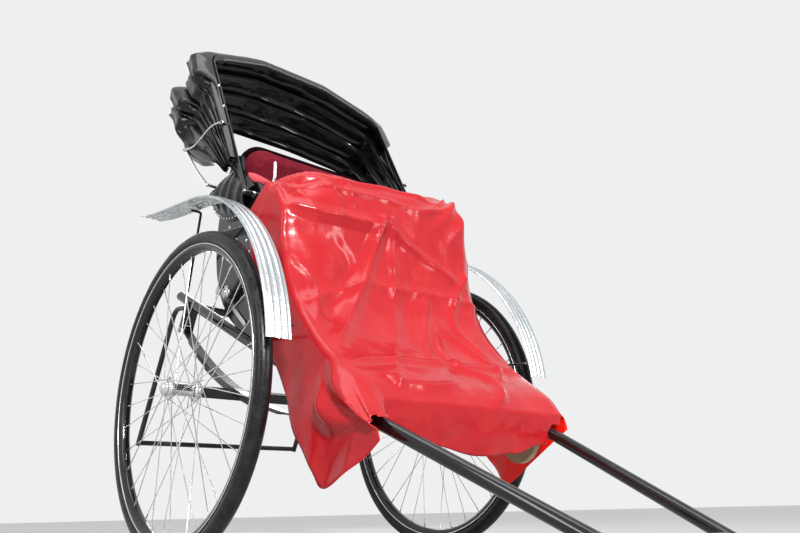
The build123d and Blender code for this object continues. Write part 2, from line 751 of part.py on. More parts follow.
def make_irons(start, finish, near, bore, knob):
    """A pair of flat folding irons, bored at the start and with a knob pin at the finish."""
    with BuildPart() as irons:
        for side in SIDES.values():
            with BuildSketch(hood_plane(0, side * near)):
                with Locations(start, finish):
                    Circle(IRON_W / 2 + 1)
                make_hull()
                with Locations(start):
                    Circle(bore, mode=Mode.SUBTRACT)
            extrude(amount=side * IRON_T)
            if knob:
                with BuildSketch(hood_plane(0, side * (near + IRON_T))):
                    with Locations(finish):
                        Circle(IRON_PIN_R + 3)
                extrude(amount=side * 5)
    return irons.part


IRON_BORE = IRON_PIN_R + SPINDLE_FIT
save(make_irons(FOOT_OFFSET, KNUCKLE, IRON_X, IRON_BORE, False), "lower_irons")
save(make_irons(BOW_PIN, KNUCKLE, IRON_X + IRON_STEP, IRON_BORE, True), "upper_irons")

# Gathered leather skirt on each side, where the hood's side cloth is nailed to the body.
with BuildPart() as hood_skirts:
    for side in SIDES.values():
        with BuildSketch(side_plane(side * PLATE_IN)):
            with BuildLine():
                Polyline((215, 685), (500, 652), (540, 606), (400, 575), (225, 602), close=True)
            make_face()
        extrude(amount=side * 46)
save(hood_skirts.part, "hood_skirts")


# Cover hooks: a rod up from each arm, its end upright in the parked pose.
HOOK_R = 6.0
HOOK_FOOT = (100.0, ARM_Z + 0.2)
HOOK_KNEE = (100.0, ARM_Z + 42.0)
HOOK_END_LEN = 60.0
HOOK_TIP = (
    HOOK_KNEE[0] + HOOK_END_LEN * sin(LEAN),
    HOOK_KNEE[1] + HOOK_END_LEN * cos(LEAN),
)
with BuildPart() as cover_hooks:
    for side in SIDES.values():
        with BuildLine(side_plane(side * (BODY_HALF - SIDE_T / 2))) as hook_path:
            FilletPolyline(HOOK_FOOT, HOOK_KNEE, HOOK_TIP, radius=14)
        with BuildSketch(Plane(origin=hook_path.line @ 0, z_dir=hook_path.line % 0)):
            Circle(HOOK_R)
        sweep(path=hook_path.line)
save(cover_hooks.part, "cover_hooks")

# Lap cover: a stiff sheet held up by the hooks, over the arms and down to the nose.
HOOK_FRONT_Y = HOOK_KNEE[0] + (COVER_TOP_Z - HOOK_KNEE[1]) * tan(LEAN) - HOOK_R / cos(LEAN)
CROWN_POINTS = (
    (HOOK_FRONT_Y - HOOK_CLEAR, COVER_TOP_Z), (60.0, 846.0), (2.0, 832.0), (-60.0, 790.0),
    (-112.0, 715.0), (-150.0, 645.0), (-228.0, 533.0), (-318.0, 430.0),
)
# The flaps' lower edges, from the nose to the hooks, and the front's hem.
RIGHT_HEM = ((-812, 236), (-727, -19), (-593, 30), (-458, 105), (-248, 256), (60, 520), (130, 640))
LEFT_HEM = ((-800, 236), (-667, 24), (-611, -52), (-467, -5), (-248, 240), (60, 520), (130, 640))
FRONT_HEM_Z = 130.0
FRONT_HEM_SIDE_Z = 195.0
NOSE_X = TIP_X + SHAFT_SLOPE * (BODY_NOSE_Y - TIP_Y) - SHAFT_R - 15.0


def cover_crest(lift):
    """The sheet's side view, its lower part a lift above the body sides' top edge."""
    foot = (-440 - lift * 0.3, 350 + lift)
    crown = []
    for (y0, z0), (y, z), (y1, z1) in zip(
        CROWN_POINTS[:1] + CROWN_POINTS[:-1], CROWN_POINTS, CROWN_POINTS[1:] + (foot,),
    ):
        length = hypot(y1 - y0, z1 - z0)
        crown.append((y - lift * (z0 - z1) / length, z + lift * (y0 - y1) / length))
    with BuildLine() as crest:
        Spline(*crown, foot)
        ThreePointArc(foot, (-620, 318 + lift), (BODY_NOSE_Y - lift, 268 + lift))
    return crest.line


def cover_flap(hem):
    with BuildSketch() as flap:
        with BuildLine():
            crest = cover_crest(SEAT_GAP)
            add(crest)
            Polyline(crest @ 1, *hem, crest @ 0)
        make_face()
    return flap.sketch


with BuildPart() as lap_cover:
    with BuildSketch(side_plane()) as cover_view:
        with BuildLine():
            low, high = cover_crest(SEAT_GAP), cover_crest(SEAT_GAP + COVER_T)
            add(low)
            add(high)
            Line(low @ 0, high @ 0)
            Line(low @ 1, high @ 1)
        make_face()
    extrude(amount=COVER_SIDE_X + COVER_T, both=True)
    hem_y = (low @ 1).X - 14
    with BuildPart(mode=Mode.PRIVATE) as front_drop:
        with BuildSketch(side_plane()):
            with BuildLine():
                Polyline(
                    low @ 1, (hem_y, FRONT_HEM_Z), (hem_y - COVER_T, FRONT_HEM_Z), high @ 1, close=True,
                )
            make_face()
        extrude(amount=NOSE_X, both=True)
        with BuildSketch(front_plane(hem_y - 60)):
            with BuildLine():
                side_z, mid_z = -FRONT_HEM_SIDE_Z, -FRONT_HEM_Z
                hem_line = ThreePointArc((-NOSE_X, side_z), (0, mid_z), (NOSE_X, side_z))
                Polyline(hem_line @ 1, (NOSE_X, -600), (-NOSE_X, -600), hem_line @ 0)
            make_face()
        extrude(amount=120, mode=Mode.INTERSECT)
    add(front_drop.part)
    for hem, side in ((RIGHT_HEM, -1), (LEFT_HEM, 1)):
        with BuildSketch(side_plane(side * COVER_SIDE_X)):
            add(cover_flap(hem))
        extrude(amount=side * COVER_T)
save(lap_cover.part, "lap_cover")

# Nose brackets: a shaped block of wood under the footboard's nose, beside each shaft.
BRACKET_X = 346.0
BRACKET_T = 24.0
with BuildPart() as nose_brackets:
    for side in SIDES.values():
        with BuildSketch(side_plane(side * BRACKET_X)):
            with BuildLine():
                top_z = BODY_FLOOR_Z - SEAT_GAP
                front = Spline(
                    (BODY_NOSE_Y + 4, top_z), (BODY_NOSE_Y - 5, 165), (BODY_NOSE_Y + 12, 98),
                    (BODY_NOSE_Y + 56, 68), (BODY_NOSE_Y + 108, 78), (BODY_NOSE_Y + 140, 112),
                )
                Polyline(front @ 1, (BODY_NOSE_Y + 140, top_z), front @ 0)
            make_face()
        extrude(amount=side * BRACKET_T)
save(nose_brackets.part, "nose_brackets")

# Body braces: a flat bar from a round boss on the body down to the rail, on each side.
with BuildPart() as body_braces:
    for side in SIDES.values():
        with BuildSketch(side_plane(side * PLATE_IN)):
            with Locations((250, 322), (0, 262)):
                Circle(8)
            make_hull()
        extrude(amount=side * 5)
        with BuildSketch(side_plane(side * (PLATE_IN + 5))):
            with Locations((250, 322)):
                Circle(17)
        extrude(amount=side * 12)
save(body_braces.part, "body_braces")


# Wheels: each part is turned about the wheel's own axle line.
def wheel_plane(side):
    """Section through a wheel: local x outwards along the axle, local y radial."""
    origin = (side * TRACK / 2, AXLE_Y, WHEEL_R)
    return Plane(origin=origin, x_dir=(side, 0, 0), z_dir=(0, -side, 0))


def wheel_axis(side):
    return Axis((side * TRACK / 2, AXLE_Y, WHEEL_R), (side, 0, 0))


TYRE_R = TYRE_D / 2
TYRE_MID = WHEEL_R - TYRE_R
FLANGE_IN = RIM_HALF_W - RIM_WALL
RIM_TOP = TYRE_MID - (TYRE_R**2 - FLANGE_IN**2) ** 0.5 - TYRE_SEAT_GAP
RIM_WELL = RIM_TOP - RIM_DEPTH


def rim_profile(grow):
    half = RIM_HALF_W - grow
    return [
        (half, RIM_TOP), (half, RIM_TOP - 12), (half - 7, RIM_WELL + grow),
        (7 - half, RIM_WELL + grow), (-half, RIM_TOP - 12), (-half, RIM_TOP),
    ]


HUB_OUTLINE = (
    (-HUB_HALF, SPINDLE_R + SPINDLE_FIT),
    (-HUB_HALF, HUB_BARREL_R),
    (-HUB_FLANGE_X - HUB_FLANGE_T / 2, HUB_BARREL_R + 3),
    (-HUB_FLANGE_X - HUB_FLANGE_T / 2, HUB_FLANGE_R),
    (-HUB_FLANGE_X + HUB_FLANGE_T / 2, HUB_FLANGE_R),
    (-HUB_FLANGE_X + HUB_FLANGE_T / 2, HUB_BARREL_R + 4),
    (0, HUB_BARREL_R),
    (HUB_FLANGE_X - HUB_FLANGE_T / 2, HUB_BARREL_R + 4),
    (HUB_FLANGE_X - HUB_FLANGE_T / 2, HUB_FLANGE_R),
    (HUB_FLANGE_X + HUB_FLANGE_T / 2, HUB_FLANGE_R),
    (HUB_FLANGE_X + HUB_FLANGE_T / 2, HUB_CAP_R),
    (HUB_HALF, HUB_CAP_R),
    (HUB_HALF + HUB_CAP_OUT * 0.7, HUB_CAP_R * 0.75),
    (HUB_HALF + HUB_CAP_OUT, HUB_CAP_R * 0.35),
    (HUB_HALF + HUB_CAP_OUT, 0),
    (HUB_HALF, 0),
    (HUB_HALF, SPINDLE_R + SPINDLE_FIT),
)


def make_spokes(side):
    """Crossed spokes from both faces of both hub flanges to the rim's well."""
    with BuildPart() as spokes:
        pitch = 360 / SPOKES_A_SIDE
        for flange in (-1, 1):
            for number in range(SPOKES_A_SIDE):
                lead = 1 if number % 2 else -1
                rim_turn = radians(number * pitch + (pitch / 2 if flange > 0 else 0))
                hub_turn = rim_turn - lead * radians(SPOKE_SWEEP)
                face = HUB_FLANGE_X + lead * (HUB_FLANGE_T / 2 + SPOKE_D / 2 + SPOKE_GAP)
                hub_r = HUB_FLANGE_R - SPOKE_D
                rim_x = flange * (4 + lead * 3)
                rim_r = RIM_WELL - SEAT_GAP
                foot = Vector(
                    side * (TRACK / 2 + flange * face),
                    AXLE_Y + hub_r * cos(hub_turn), WHEEL_R + hub_r * sin(hub_turn),
                )
                head = Vector(
                    side * (TRACK / 2 + rim_x),
                    AXLE_Y + rim_r * cos(rim_turn), WHEEL_R + rim_r * sin(rim_turn),
                )
                with BuildSketch(Plane(origin=foot, z_dir=head - foot)):
                    RegularPolygon(SPOKE_D / 2, 6)
                extrude(amount=(head - foot).length)
    return spokes.part


for name, side in SIDES.items():
    with BuildPart() as tyre:
        with BuildSketch(wheel_plane(side)):
            with Locations((0, TYRE_MID)):
                Circle(TYRE_R)
        revolve(axis=wheel_axis(side))
    save(tyre.part, f"tyre_{name}")

    with BuildPart() as rim:
        with BuildSketch(wheel_plane(side)):
            with BuildLine():
                outer, inner = rim_profile(0), rim_profile(RIM_WALL)
                Polyline(*outer, *reversed(inner), close=True)
            make_face()
        revolve(axis=wheel_axis(side))
    save(rim.part, f"rim_{name}")

    with BuildPart() as hub:
        with BuildSketch(wheel_plane(side)):
            with BuildLine():
                Polyline(*HUB_OUTLINE, close=True)
            make_face()
        revolve(axis=wheel_axis(side))
    save(hub.part, f"hub_{name}")

    save(make_spokes(side), f"spokes_{name}")
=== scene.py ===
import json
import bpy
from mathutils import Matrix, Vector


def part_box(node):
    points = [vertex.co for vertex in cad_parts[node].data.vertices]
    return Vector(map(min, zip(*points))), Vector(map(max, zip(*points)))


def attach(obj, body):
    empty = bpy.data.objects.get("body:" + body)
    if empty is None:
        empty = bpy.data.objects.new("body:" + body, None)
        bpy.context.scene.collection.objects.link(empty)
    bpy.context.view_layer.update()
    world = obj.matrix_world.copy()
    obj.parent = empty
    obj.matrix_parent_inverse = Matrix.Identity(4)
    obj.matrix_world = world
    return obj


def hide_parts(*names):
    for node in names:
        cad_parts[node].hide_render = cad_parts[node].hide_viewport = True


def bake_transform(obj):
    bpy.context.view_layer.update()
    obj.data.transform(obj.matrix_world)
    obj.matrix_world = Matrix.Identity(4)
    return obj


bl_info = {
    "name": "Pulled rickshaw finish",
    "version": (1, 0, 0),
    "blender": (4, 5, 0),
    "location": "View3D > Sidebar > Rickshaw",
    "description": "Dresses the pulled rickshaw's solids with its real surfaces and soft goods",
    "category": "Object",
}

from math import atan2, cos, exp, hypot, pi, radians, sin

import bmesh
import bpy
from bpy.props import FloatProperty, FloatVectorProperty, PointerProperty
from bpy.types import Operator, Panel, PropertyGroup
from mathutils import Matrix, Vector, noise

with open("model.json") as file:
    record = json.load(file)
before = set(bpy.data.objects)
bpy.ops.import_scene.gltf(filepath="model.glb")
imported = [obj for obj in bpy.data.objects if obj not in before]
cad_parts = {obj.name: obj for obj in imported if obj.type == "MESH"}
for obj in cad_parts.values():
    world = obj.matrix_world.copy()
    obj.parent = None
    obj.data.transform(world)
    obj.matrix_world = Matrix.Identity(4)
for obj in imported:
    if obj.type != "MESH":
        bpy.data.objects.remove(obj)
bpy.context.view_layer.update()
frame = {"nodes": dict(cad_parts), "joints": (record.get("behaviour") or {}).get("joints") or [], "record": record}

# Lengths are metres in the part's own frame. "Ride" sizes are measured from the axle with the
# carriage level: y to the rear, z up. The frame's own record says where the axle is and how far
# the carriage leans when it is parked.
JOINTS = {joint["name"]: joint for joint in frame["joints"]}
MOUNTS = {mount["name"]: mount for mount in frame["record"]["mounts"]}
WHEEL_X, AXLE_Y, WHEEL_R = JOINTS["wheel_left_spin"]["pos_m"]
FLOOR_NORMAL = MOUNTS["foot_floor"]["axis"]
LEAN = atan2(-FLOOR_NORMAL[1], FLOOR_NORMAL[2])
SIDES = {"right": -1, "left": 1}
BODY_HALF = 0.430


def ride(x, y, z):
    """A ride point in the part's frame."""
    return Vector((
        x,
        AXLE_Y + y * cos(LEAN) - z * sin(LEAN),
        WHEEL_R + y * sin(LEAN) + z * cos(LEAN),
    ))


# Settings and mesh makers

def colour_setting(name, description, default):
    """A colour that a user may change."""
    return FloatVectorProperty(
        name=name, description=description, subtype="COLOR", size=3, default=default, min=0, max=1)


def length_setting(name, description, default):
    """A length in metres that a user may change."""
    return FloatProperty(name=name, description=description, default=default, unit="LENGTH")


def smooth_step(value, low, high):
    """From 0 below the low value to 1 above the high one, without a corner."""
    share = min(max((value - low) / (high - low), 0.0), 1.0)
    return share * share * (3 - 2 * share)


def shares(count):
    """Even shares from 0 to 1, both included."""
    return [step / count for step in range(count + 1)]


def once_round(count):
    """Angles at an even pitch round a circle."""
    return [2 * pi * step / count for step in range(count)]


def ruffle(x, y, z):
    """Smooth noise from -1 to 1 at a place."""
    return noise.noise(Vector((x, y, z)))


def heading(line, index):
    """The direction of a line at one of its points."""
    return (line[min(index + 1, len(line) - 1)] - line[max(index - 1, 0)]).normalized()


def new_object(name, data):
    """An object with the given data, in the scene."""
    thing = bpy.data.objects.new(name, data)
    bpy.context.scene.collection.objects.link(thing)
    return thing


def mesh_object(name, points, faces, finishes, sharp=35.0):
    """A mesh object from points and faces, smooth but for edges sharper than the angle."""
    mesh = bpy.data.meshes.new(name)
    mesh.from_pydata([tuple(point) for point in points], [], faces)
    mesh.validate()
    mesh.update()
    for finish in finishes:
        mesh.materials.append(finish)
    mesh.shade_smooth()
    mesh.set_sharp_from_angle(angle=radians(sharp))
    return new_object(name, mesh)


def settle(piece, body, slot, *replaced):
    """Rides a piece on its body and hides the nodes that it stands for; its slot is not used."""
    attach(piece, body)
    if replaced:
        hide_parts(*replaced)


class Shape:
    """Points and faces gathered from several simple forms into one piece."""

    def __init__(self):
        self.points = []
        self.faces = []

    def grid(self, rows, closed_rows=False, closed_columns=False, flip=False):
        """Quads between rows of points."""
        height, width = len(rows), len(rows[0])
        start = len(self.points)
        for row in range(height if closed_rows else height - 1):
            for column in range(width if closed_columns else width - 1):
                below, beside = (row + 1) % height, (column + 1) % width
                face = (
                    start + row * width + column, start + row * width + beside,
                    start + below * width + beside, start + below * width + column,
                )
                self.faces.append(face[::-1] if flip else face)
        self.points += [point for line in rows for point in line]

    def lathe(self, centre, axis, profile, segments, closed=False):
        """Turns a profile of (along, radius) points about an axis."""
        axis = Vector(axis).normalized()
        across = axis.orthogonal().normalized()
        other = axis.cross(across)
        rows = []
        for turn in once_round(segments):
            out = across * cos(turn) + other * sin(turn)
            rows.append([Vector(centre) + axis * along + out * radius for along, radius in profile])
        self.grid(rows, closed_rows=True, closed_columns=closed, flip=True)

    def tube(self, path, radius, sides):
        """A round bar along a path; radius is a number or one number for each point."""
        path = [Vector(point) for point in path]
        radii = radius if hasattr(radius, "__len__") else [radius] * len(path)
        side = None
        rows = []
        for index, point in enumerate(path):
            ahead = heading(path, index)
            if side is None:
                side = ahead.orthogonal().normalized()
            side = (side - ahead * side.dot(ahead)).normalized()
            other = ahead.cross(side)
            rows.append([
                point + (side * cos(turn) + other * sin(turn)) * radii[index]
                for turn in once_round(sides)
            ])
        start = len(self.points)
        self.grid(rows, closed_columns=True)
        last = start + (len(rows) - 1) * sides
        self.faces.append(tuple(start + step for step in range(sides))[::-1])
        self.faces.append(tuple(last + step for step in range(sides)))

    def plate(self, outer, inner):
        """A sheet with thickness between two matching grids, its rim closed."""
        self.grid(outer)
        self.grid(inner, flip=True)
        self.grid([rim_of(inner), rim_of(outer)], closed_columns=True)

    def object(self, name, finishes, sharp=35.0, merge=0.0):
        """The piece that the forms make; points within the merge distance become one."""
        piece = mesh_object(name, self.points, self.faces, finishes, sharp)
        if merge:
            weld(piece.data, merge)
            piece.data.set_sharp_from_angle(angle=radians(sharp))
        return piece

    def settled(self, name, finish, body, *replaced, slot=None, sharp=35.0):
        """The piece in one finish, on its body and in place of the nodes that it stands for."""
        piece = self.object(name, [FINISHES[finish]], sharp)
        settle(piece, body, slot or finish, *replaced)
        return piece


def weld(mesh, distance):
    """Joins points that lie within a distance of each other."""
    work = bmesh.new()
    work.from_mesh(mesh)
    bmesh.ops.remove_doubles(work, verts=work.verts, dist=distance)
    work.to_mesh(mesh)
    work.free()
    mesh.update()


def bake(piece):
    """Applies a piece's modifiers to its mesh."""
    bpy.context.view_layer.update()
    seen = piece.evaluated_get(bpy.context.evaluated_depsgraph_get())
    mesh = bpy.data.meshes.new_from_object(seen)
    piece.modifiers.clear()
    piece.data = mesh


def modify(piece, kind, **settings):
    """Adds a modifier with its settings and applies it."""
    layer = piece.modifiers.new(kind.lower(), kind)
    for key, value in settings.items():
        setattr(layer, key, value)
    bake(piece)


def rim_of(rows):
    """The border of a grid of points, once round."""
    top = list(rows[0])
    right = [line[-1] for line in rows[1:-1]]
    bottom = list(reversed(rows[-1]))
    left = [line[0] for line in reversed(rows[1:-1])]
    return top + right + bottom + left


def offset_grid(rows, distance):
    """The same grid moved along its own normals."""
    height, width = len(rows), len(rows[0])
    moved = []
    for row in range(height):
        line = []
        for column in range(width):
            down = rows[min(row + 1, height - 1)][column] - rows[max(row - 1, 0)][column]
            over = rows[row][min(column + 1, width - 1)] - rows[row][max(column - 1, 0)]
            normal = over.cross(down)
            if normal.length < 1e-12:
                normal = Vector((0, 0, 1))
            line.append(rows[row][column] + normal.normalized() * distance)
        moved.append(line)
    return moved


def spline(points, steps):
    """A smooth line through points, with the given number of steps between each two."""
    points = [Vector(point).to_3d() for point in points]
    ends = [points[0] * 2 - points[1]] + points + [points[-1] * 2 - points[-2]]
    line = []
    for index in range(1, len(ends) - 2):
        before, start, finish, after = ends[index - 1:index + 3]
        for step in range(steps):
            t = step / steps
            line.append(0.5 * (
                start * 2 + (finish - before) * t
                + (before * 2 - start * 5 + finish * 4 - after) * t * t
                + (start * 3 - before - finish * 3 + after) * t ** 3
            ))
    return line + [points[-1]]


def table_curve(table, value):
    """A smooth value read from a table of (position, value) rows."""
    if value <= table[0][0]:
        return table[0][1]
    for (low, first), (high, second) in zip(table, table[1:]):
        if value <= high:
            return first + (second - first) * smooth_step(value, low, high)
    return table[-1][1]


# Material makers

class Signal:
    """A node's output, with arithmetic that adds Math nodes."""

    def __init__(self, finish, socket):
        self.finish = finish
        self.socket = socket

    def math(self, operation, first, second):
        return self.finish.add("Math", {"operation": operation}, {0: first, 1: second})

    def __add__(self, other):
        return self.math("ADD", self, other)

    def __sub__(self, other):
        return self.math("SUBTRACT", self, other)

    def __mul__(self, other):
        return self.math("MULTIPLY", self, other)

    def __radd__(self, other):
        return self.math("ADD", other, self)


class Shading:
    """The nodes of a material or of the world, all added by one method."""

    def __init__(self, owner):
        owner.use_nodes = True
        self.tree = owner.node_tree
        self.tree.nodes.clear()

    def add(self, kind, settings=None, inputs=None, out=0):
        """One node, by its type, its settings and its sockets' values or links."""
        node = self.tree.nodes.new("ShaderNode" + kind)
        for key, value in (settings or {}).items():
            if key == "stops":
                for _ in value[2:]:
                    node.color_ramp.elements.new(0.5)
                for stop, (position, colour) in zip(node.color_ramp.elements, value):
                    stop.position = position
                    stop.color = (*colour, 1)
            else:
                setattr(node, key, value)
        for key, value in (inputs or {}).items():
            if isinstance(value, Signal):
                self.tree.links.new(value.socket, node.inputs[key])
            else:
                node.inputs[key].default_value = value
        return Signal(self, node.outputs[out]) if len(node.outputs) else None


class Finish(Shading):
    """A procedural material."""

    def __init__(self, name):
        self.material = bpy.data.materials.new(name)
        super().__init__(self.material)
        self.place = self.add("TexCoord", out="Object")

    def ramp(self, value, low, high):
        """From 0 to 1 between two values, without a corner."""
        return self.add("MapRange", {"interpolation_type": "SMOOTHSTEP"}, {
            "Value": value, "From Min": low, "From Max": high,
        })

    def noise(self, scale, detail=3.0, rough=0.5, stretch=(1, 1, 1), distortion=0.0):
        place = self.place
        if stretch != (1, 1, 1):
            place = self.add("Mapping", None, {"Vector": place, "Scale": stretch})
        return self.add("TexNoise", None, {
            "Vector": place, "Scale": scale, "Detail": detail, "Roughness": rough,
            "Distortion": distortion,
        })

    def patches(self, low, high, *arguments, **options):
        """Noise that starts to show at the low value and is full from the high one."""
        return self.ramp(self.noise(*arguments, **options), low, high)

    def cells(self, scale):
        """Distance to the middle of the nearest of many small cells."""
        return self.add("TexVoronoi", None, {"Vector": self.place, "Scale": scale}, "Distance")

    def blend_colour(self, amount, first, second):
        """One colour over another by an amount; the node's colour sockets are 6, 7 and out 2."""
        return self.add("Mix", {"data_type": "RGBA"}, {
            "Factor": amount, 6: first if isinstance(first, Signal) else (*first, 1),
            7: second if isinstance(second, Signal) else (*second, 1),
        }, 2)

    def facing_up(self):
        """1 where the surface faces straight up, 0 where it is upright."""
        normal = self.add("NewGeometry", out="Normal")
        return self.add("SeparateXYZ", None, {0: normal}, 2)

    def bump(self, height, strength, distance, under=None):
        inputs = {"Height": height, "Strength": strength, "Distance": distance}
        if under:
            inputs["Normal"] = under
        return self.add("Bump", None, inputs)

    def finish(self, **inputs):
        """Closes the material with one Principled shader; names use _ for spaces."""
        sockets = {key.replace("_", " "): value for key, value in inputs.items()}
        if "Sheen Tint" in sockets:
            sockets["Sheen Tint"] = (*sockets["Sheen Tint"], 1)
        shader = self.add("BsdfPrincipled", None, sockets)
        self.add("OutputMaterial", None, {"Surface": shader})
        return self.material


FINISHES = {}


def lacquer_finish(colours):
    """Deep black gloss with faint dust, and scuffs on what faces up."""
    made = Finish("black_lacquer")
    dust = made.patches(0.5, 0.78, 9, 6, 0.62)
    scratches = made.patches(0.62, 0.72, 60, 4, 0.7, (1, 0.12, 1))
    scuffs = made.patches(0.57, 0.66, 38, 7, 0.75) * made.ramp(made.facing_up(), 0.35, 0.9)
    tint = made.blend_colour(dust * 0.2, colours.lacquer, (0.03, 0.029, 0.028))
    tint = made.blend_colour(scuffs * 0.3, tint, (0.12, 0.117, 0.112))
    rough = 0.1 + dust * 0.1 + scratches * 0.12 + scuffs * 0.35
    height = made.noise(14, 2, 0.4) * 0.4 + made.noise(160, 3, 0.6) * 0.05
    return made.finish(
        Base_Color=tint, Roughness=rough, Specular_IOR_Level=0.35,
        Coat_Weight=0.3, Coat_Roughness=0.06, Normal=made.bump(height, 0.12, 0.004),
    )


def iron_finish(colours):
    """Black enamel on iron, a little orange-peeled, chipped to bare metal in small specks."""
    made = Finish("black_iron")
    chips = made.patches(0.66, 0.7, 55, 8, 0.8)
    dirt = made.patches(0.45, 0.8, 12, 5, 0.6)
    tint = made.blend_colour(dirt * 0.4, colours.iron, (0.07, 0.062, 0.055))
    tint = made.blend_colour(chips * 0.8, tint, (0.24, 0.2, 0.17))
    return made.finish(
        Base_Color=tint, Roughness=0.26 + dirt * 0.22, Metallic=0.15 + chips * 0.5,
        Coat_Weight=0.25, Normal=made.bump(made.noise(120, 4, 0.6) + dirt * 0.4, 0.14, 0.002),
    )


def plated_finish(colours):
    """Bright nickel-like plating, clouded and lightly pitted."""
    made = Finish("plated_iron")
    cloud = made.patches(0.4, 0.75, 26, 5, 0.6)
    pits = made.patches(0.66, 0.73, 190, 6, 0.7)
    tint = made.blend_colour(cloud * 0.5, colours.plating, (0.5, 0.5, 0.53))
    tint = made.blend_colour(pits * 0.6, tint, (0.16, 0.13, 0.11))
    return made.finish(
        Base_Color=tint, Metallic=1.0, Roughness=0.1 + cloud * 0.16 + pits * 0.3,
        Normal=made.bump(made.noise(70, 3, 0.5) - pits * 0.5, 0.1, 0.002),
    )


def polished_finish(colours):
    """Polished sheet steel with hammered waves, water marks and fine scratches along it."""
    made = Finish("polished_steel")
    waves = made.noise(26, 4, 0.65, distortion=0.6)
    marks = made.patches(0.47, 0.6, 85, 7, 0.75)
    smear = made.patches(0.45, 0.62, 34, 5, 0.6, distortion=0.8)
    tint = made.blend_colour(marks * 0.55, colours.steel, (0.2, 0.22, 0.24))
    tint = made.blend_colour(smear * 0.4, tint, (0.3, 0.32, 0.34))
    height = waves + made.noise(240, 4, 0.6, (1, 0.2, 0.2)) * 0.06
    return made.finish(
        Base_Color=tint, Metallic=1.0, Roughness=0.2 + marks * 0.2 + smear * 0.12,
        Normal=made.bump(height, 0.3, 0.005),
    )


def rubber_finish(colours):
    """Smooth solid rubber with patches of grey dust."""
    made = Finish("tyre_rubber")
    dust = made.patches(0.42, 0.75, 24, 6, 0.65)
    fine = made.noise(210, 4, 0.6)
    tint = made.blend_colour(dust * 0.3, colours.rubber, (0.05, 0.047, 0.043))
    return made.finish(
        Base_Color=tint, Roughness=0.26 + dust * 0.26, Specular_IOR_Level=0.25,
        Normal=made.bump(fine + dust, 0.16, 0.0015),
    )


def leather_finish(colours):
    """Glossy coated hood cloth: pebble grain, soft rumples and worn, dusty folds."""
    made = Finish("hood_leather")
    grain = made.cells(520)
    rumple = made.noise(8, 3, 0.5, distortion=0.5)
    creases = made.patches(0.47, 0.5, 26, 4, 0.6, distortion=1.4)
    dust = made.patches(0.56, 0.82, 14, 6, 0.7)
    tint = made.blend_colour(dust * 0.16, colours.leather, (0.03, 0.032, 0.037))
    coarse = made.bump(rumple + creases * 0.03, 0.22, 0.012)
    return made.finish(
        Base_Color=tint, Roughness=0.28 + dust * 0.12, Specular_IOR_Level=0.14,
        Coat_Weight=0.5, Coat_Roughness=0.07, Normal=made.bump(grain, 0.08, 0.0005, coarse),
    )


def vinyl_finish(name, colour, shade):
    """Glossy thin vinyl: flat sheet gloss broken by fold lines and soft dents."""
    made = Finish(name)
    soft = made.noise(7, 3, 0.5, distortion=0.8)
    dents = made.patches(0.47, 0.53, 17, 4, 0.6, distortion=1.6)
    smear = made.patches(0.4, 0.75, 10, 6, 0.6)
    tint = made.blend_colour(smear * 0.35, colour, shade)
    coarse = made.bump(soft + dents * 0.1, 0.14, 0.012)
    return made.finish(
        Base_Color=tint, Roughness=0.22 + smear * 0.07, Specular_IOR_Level=0.2,
        Coat_Weight=0.13, Coat_Roughness=0.05,
        Normal=made.bump(made.noise(300, 2, 0.5), 0.04, 0.0005, coarse),
    )


def velvet_finish(name, colour, sheen_and_rubbed):
    """Short pile with brushed patches that catch the light."""
    made = Finish(name)
    brushed = made.patches(0.35, 0.7, 8, 4, 0.6, distortion=1.2)
    pile = made.noise(900, 3, 0.6)
    # Painted sheen, partly wear: the brushed patches and the pile's fine speckle are blended towards the lighter
    # second colour.
    tint = made.blend_colour(brushed * 0.5, colour, sheen_and_rubbed)
    tint = made.blend_colour(made.ramp(pile, 0.3, 0.7) * 0.3, tint, sheen_and_rubbed)
    return made.finish(
        Base_Color=tint, Roughness=0.82 + brushed * 0.1, Specular_IOR_Level=0.12,
        Sheen_Weight=0.1, Sheen_Roughness=0.35, Sheen_Tint=sheen_and_rubbed,
        Normal=made.bump(pile + brushed * 0.6, 0.3, 0.0012),
    )


def wood_finish(colours):
    """Varnished boards with grain along the carriage, worn pale in patches."""
    made = Finish("floor_wood")
    rings = made.add("TexWave", {"wave_type": "BANDS", "bands_direction": "X"}, {
        "Vector": made.place, "Scale": 14.0, "Distortion": 7.0, "Detail": 4.0, "Detail Scale": 1.4,
    }, 1)
    streak = made.noise(120, 5, 0.65, (1, 0.06, 0.06))
    worn = made.patches(0.42, 0.7, 6, 4, 0.6)
    tint = made.blend_colour(rings * 0.7, colours.wood, (0.13, 0.07, 0.035))
    tint = made.blend_colour(streak * 0.5, tint, (0.42, 0.28, 0.16))
    tint = made.blend_colour(worn * 0.3, tint, (0.45, 0.34, 0.22))
    return made.finish(
        Base_Color=tint, Roughness=0.32 + worn * 0.3,
        Normal=made.bump(rings * 0.3 + streak, 0.2, 0.0015),
    )


def thread_finish():
    """Pale waxed thread, a little soiled."""
    made = Finish("thread")
    soil = made.patches(0.4, 0.7, 120, 4, 0.6)
    tint = made.blend_colour(soil, (0.62, 0.6, 0.55), (0.34, 0.32, 0.29))
    return made.finish(Base_Color=tint, Roughness=0.55 + soil * 0.2)


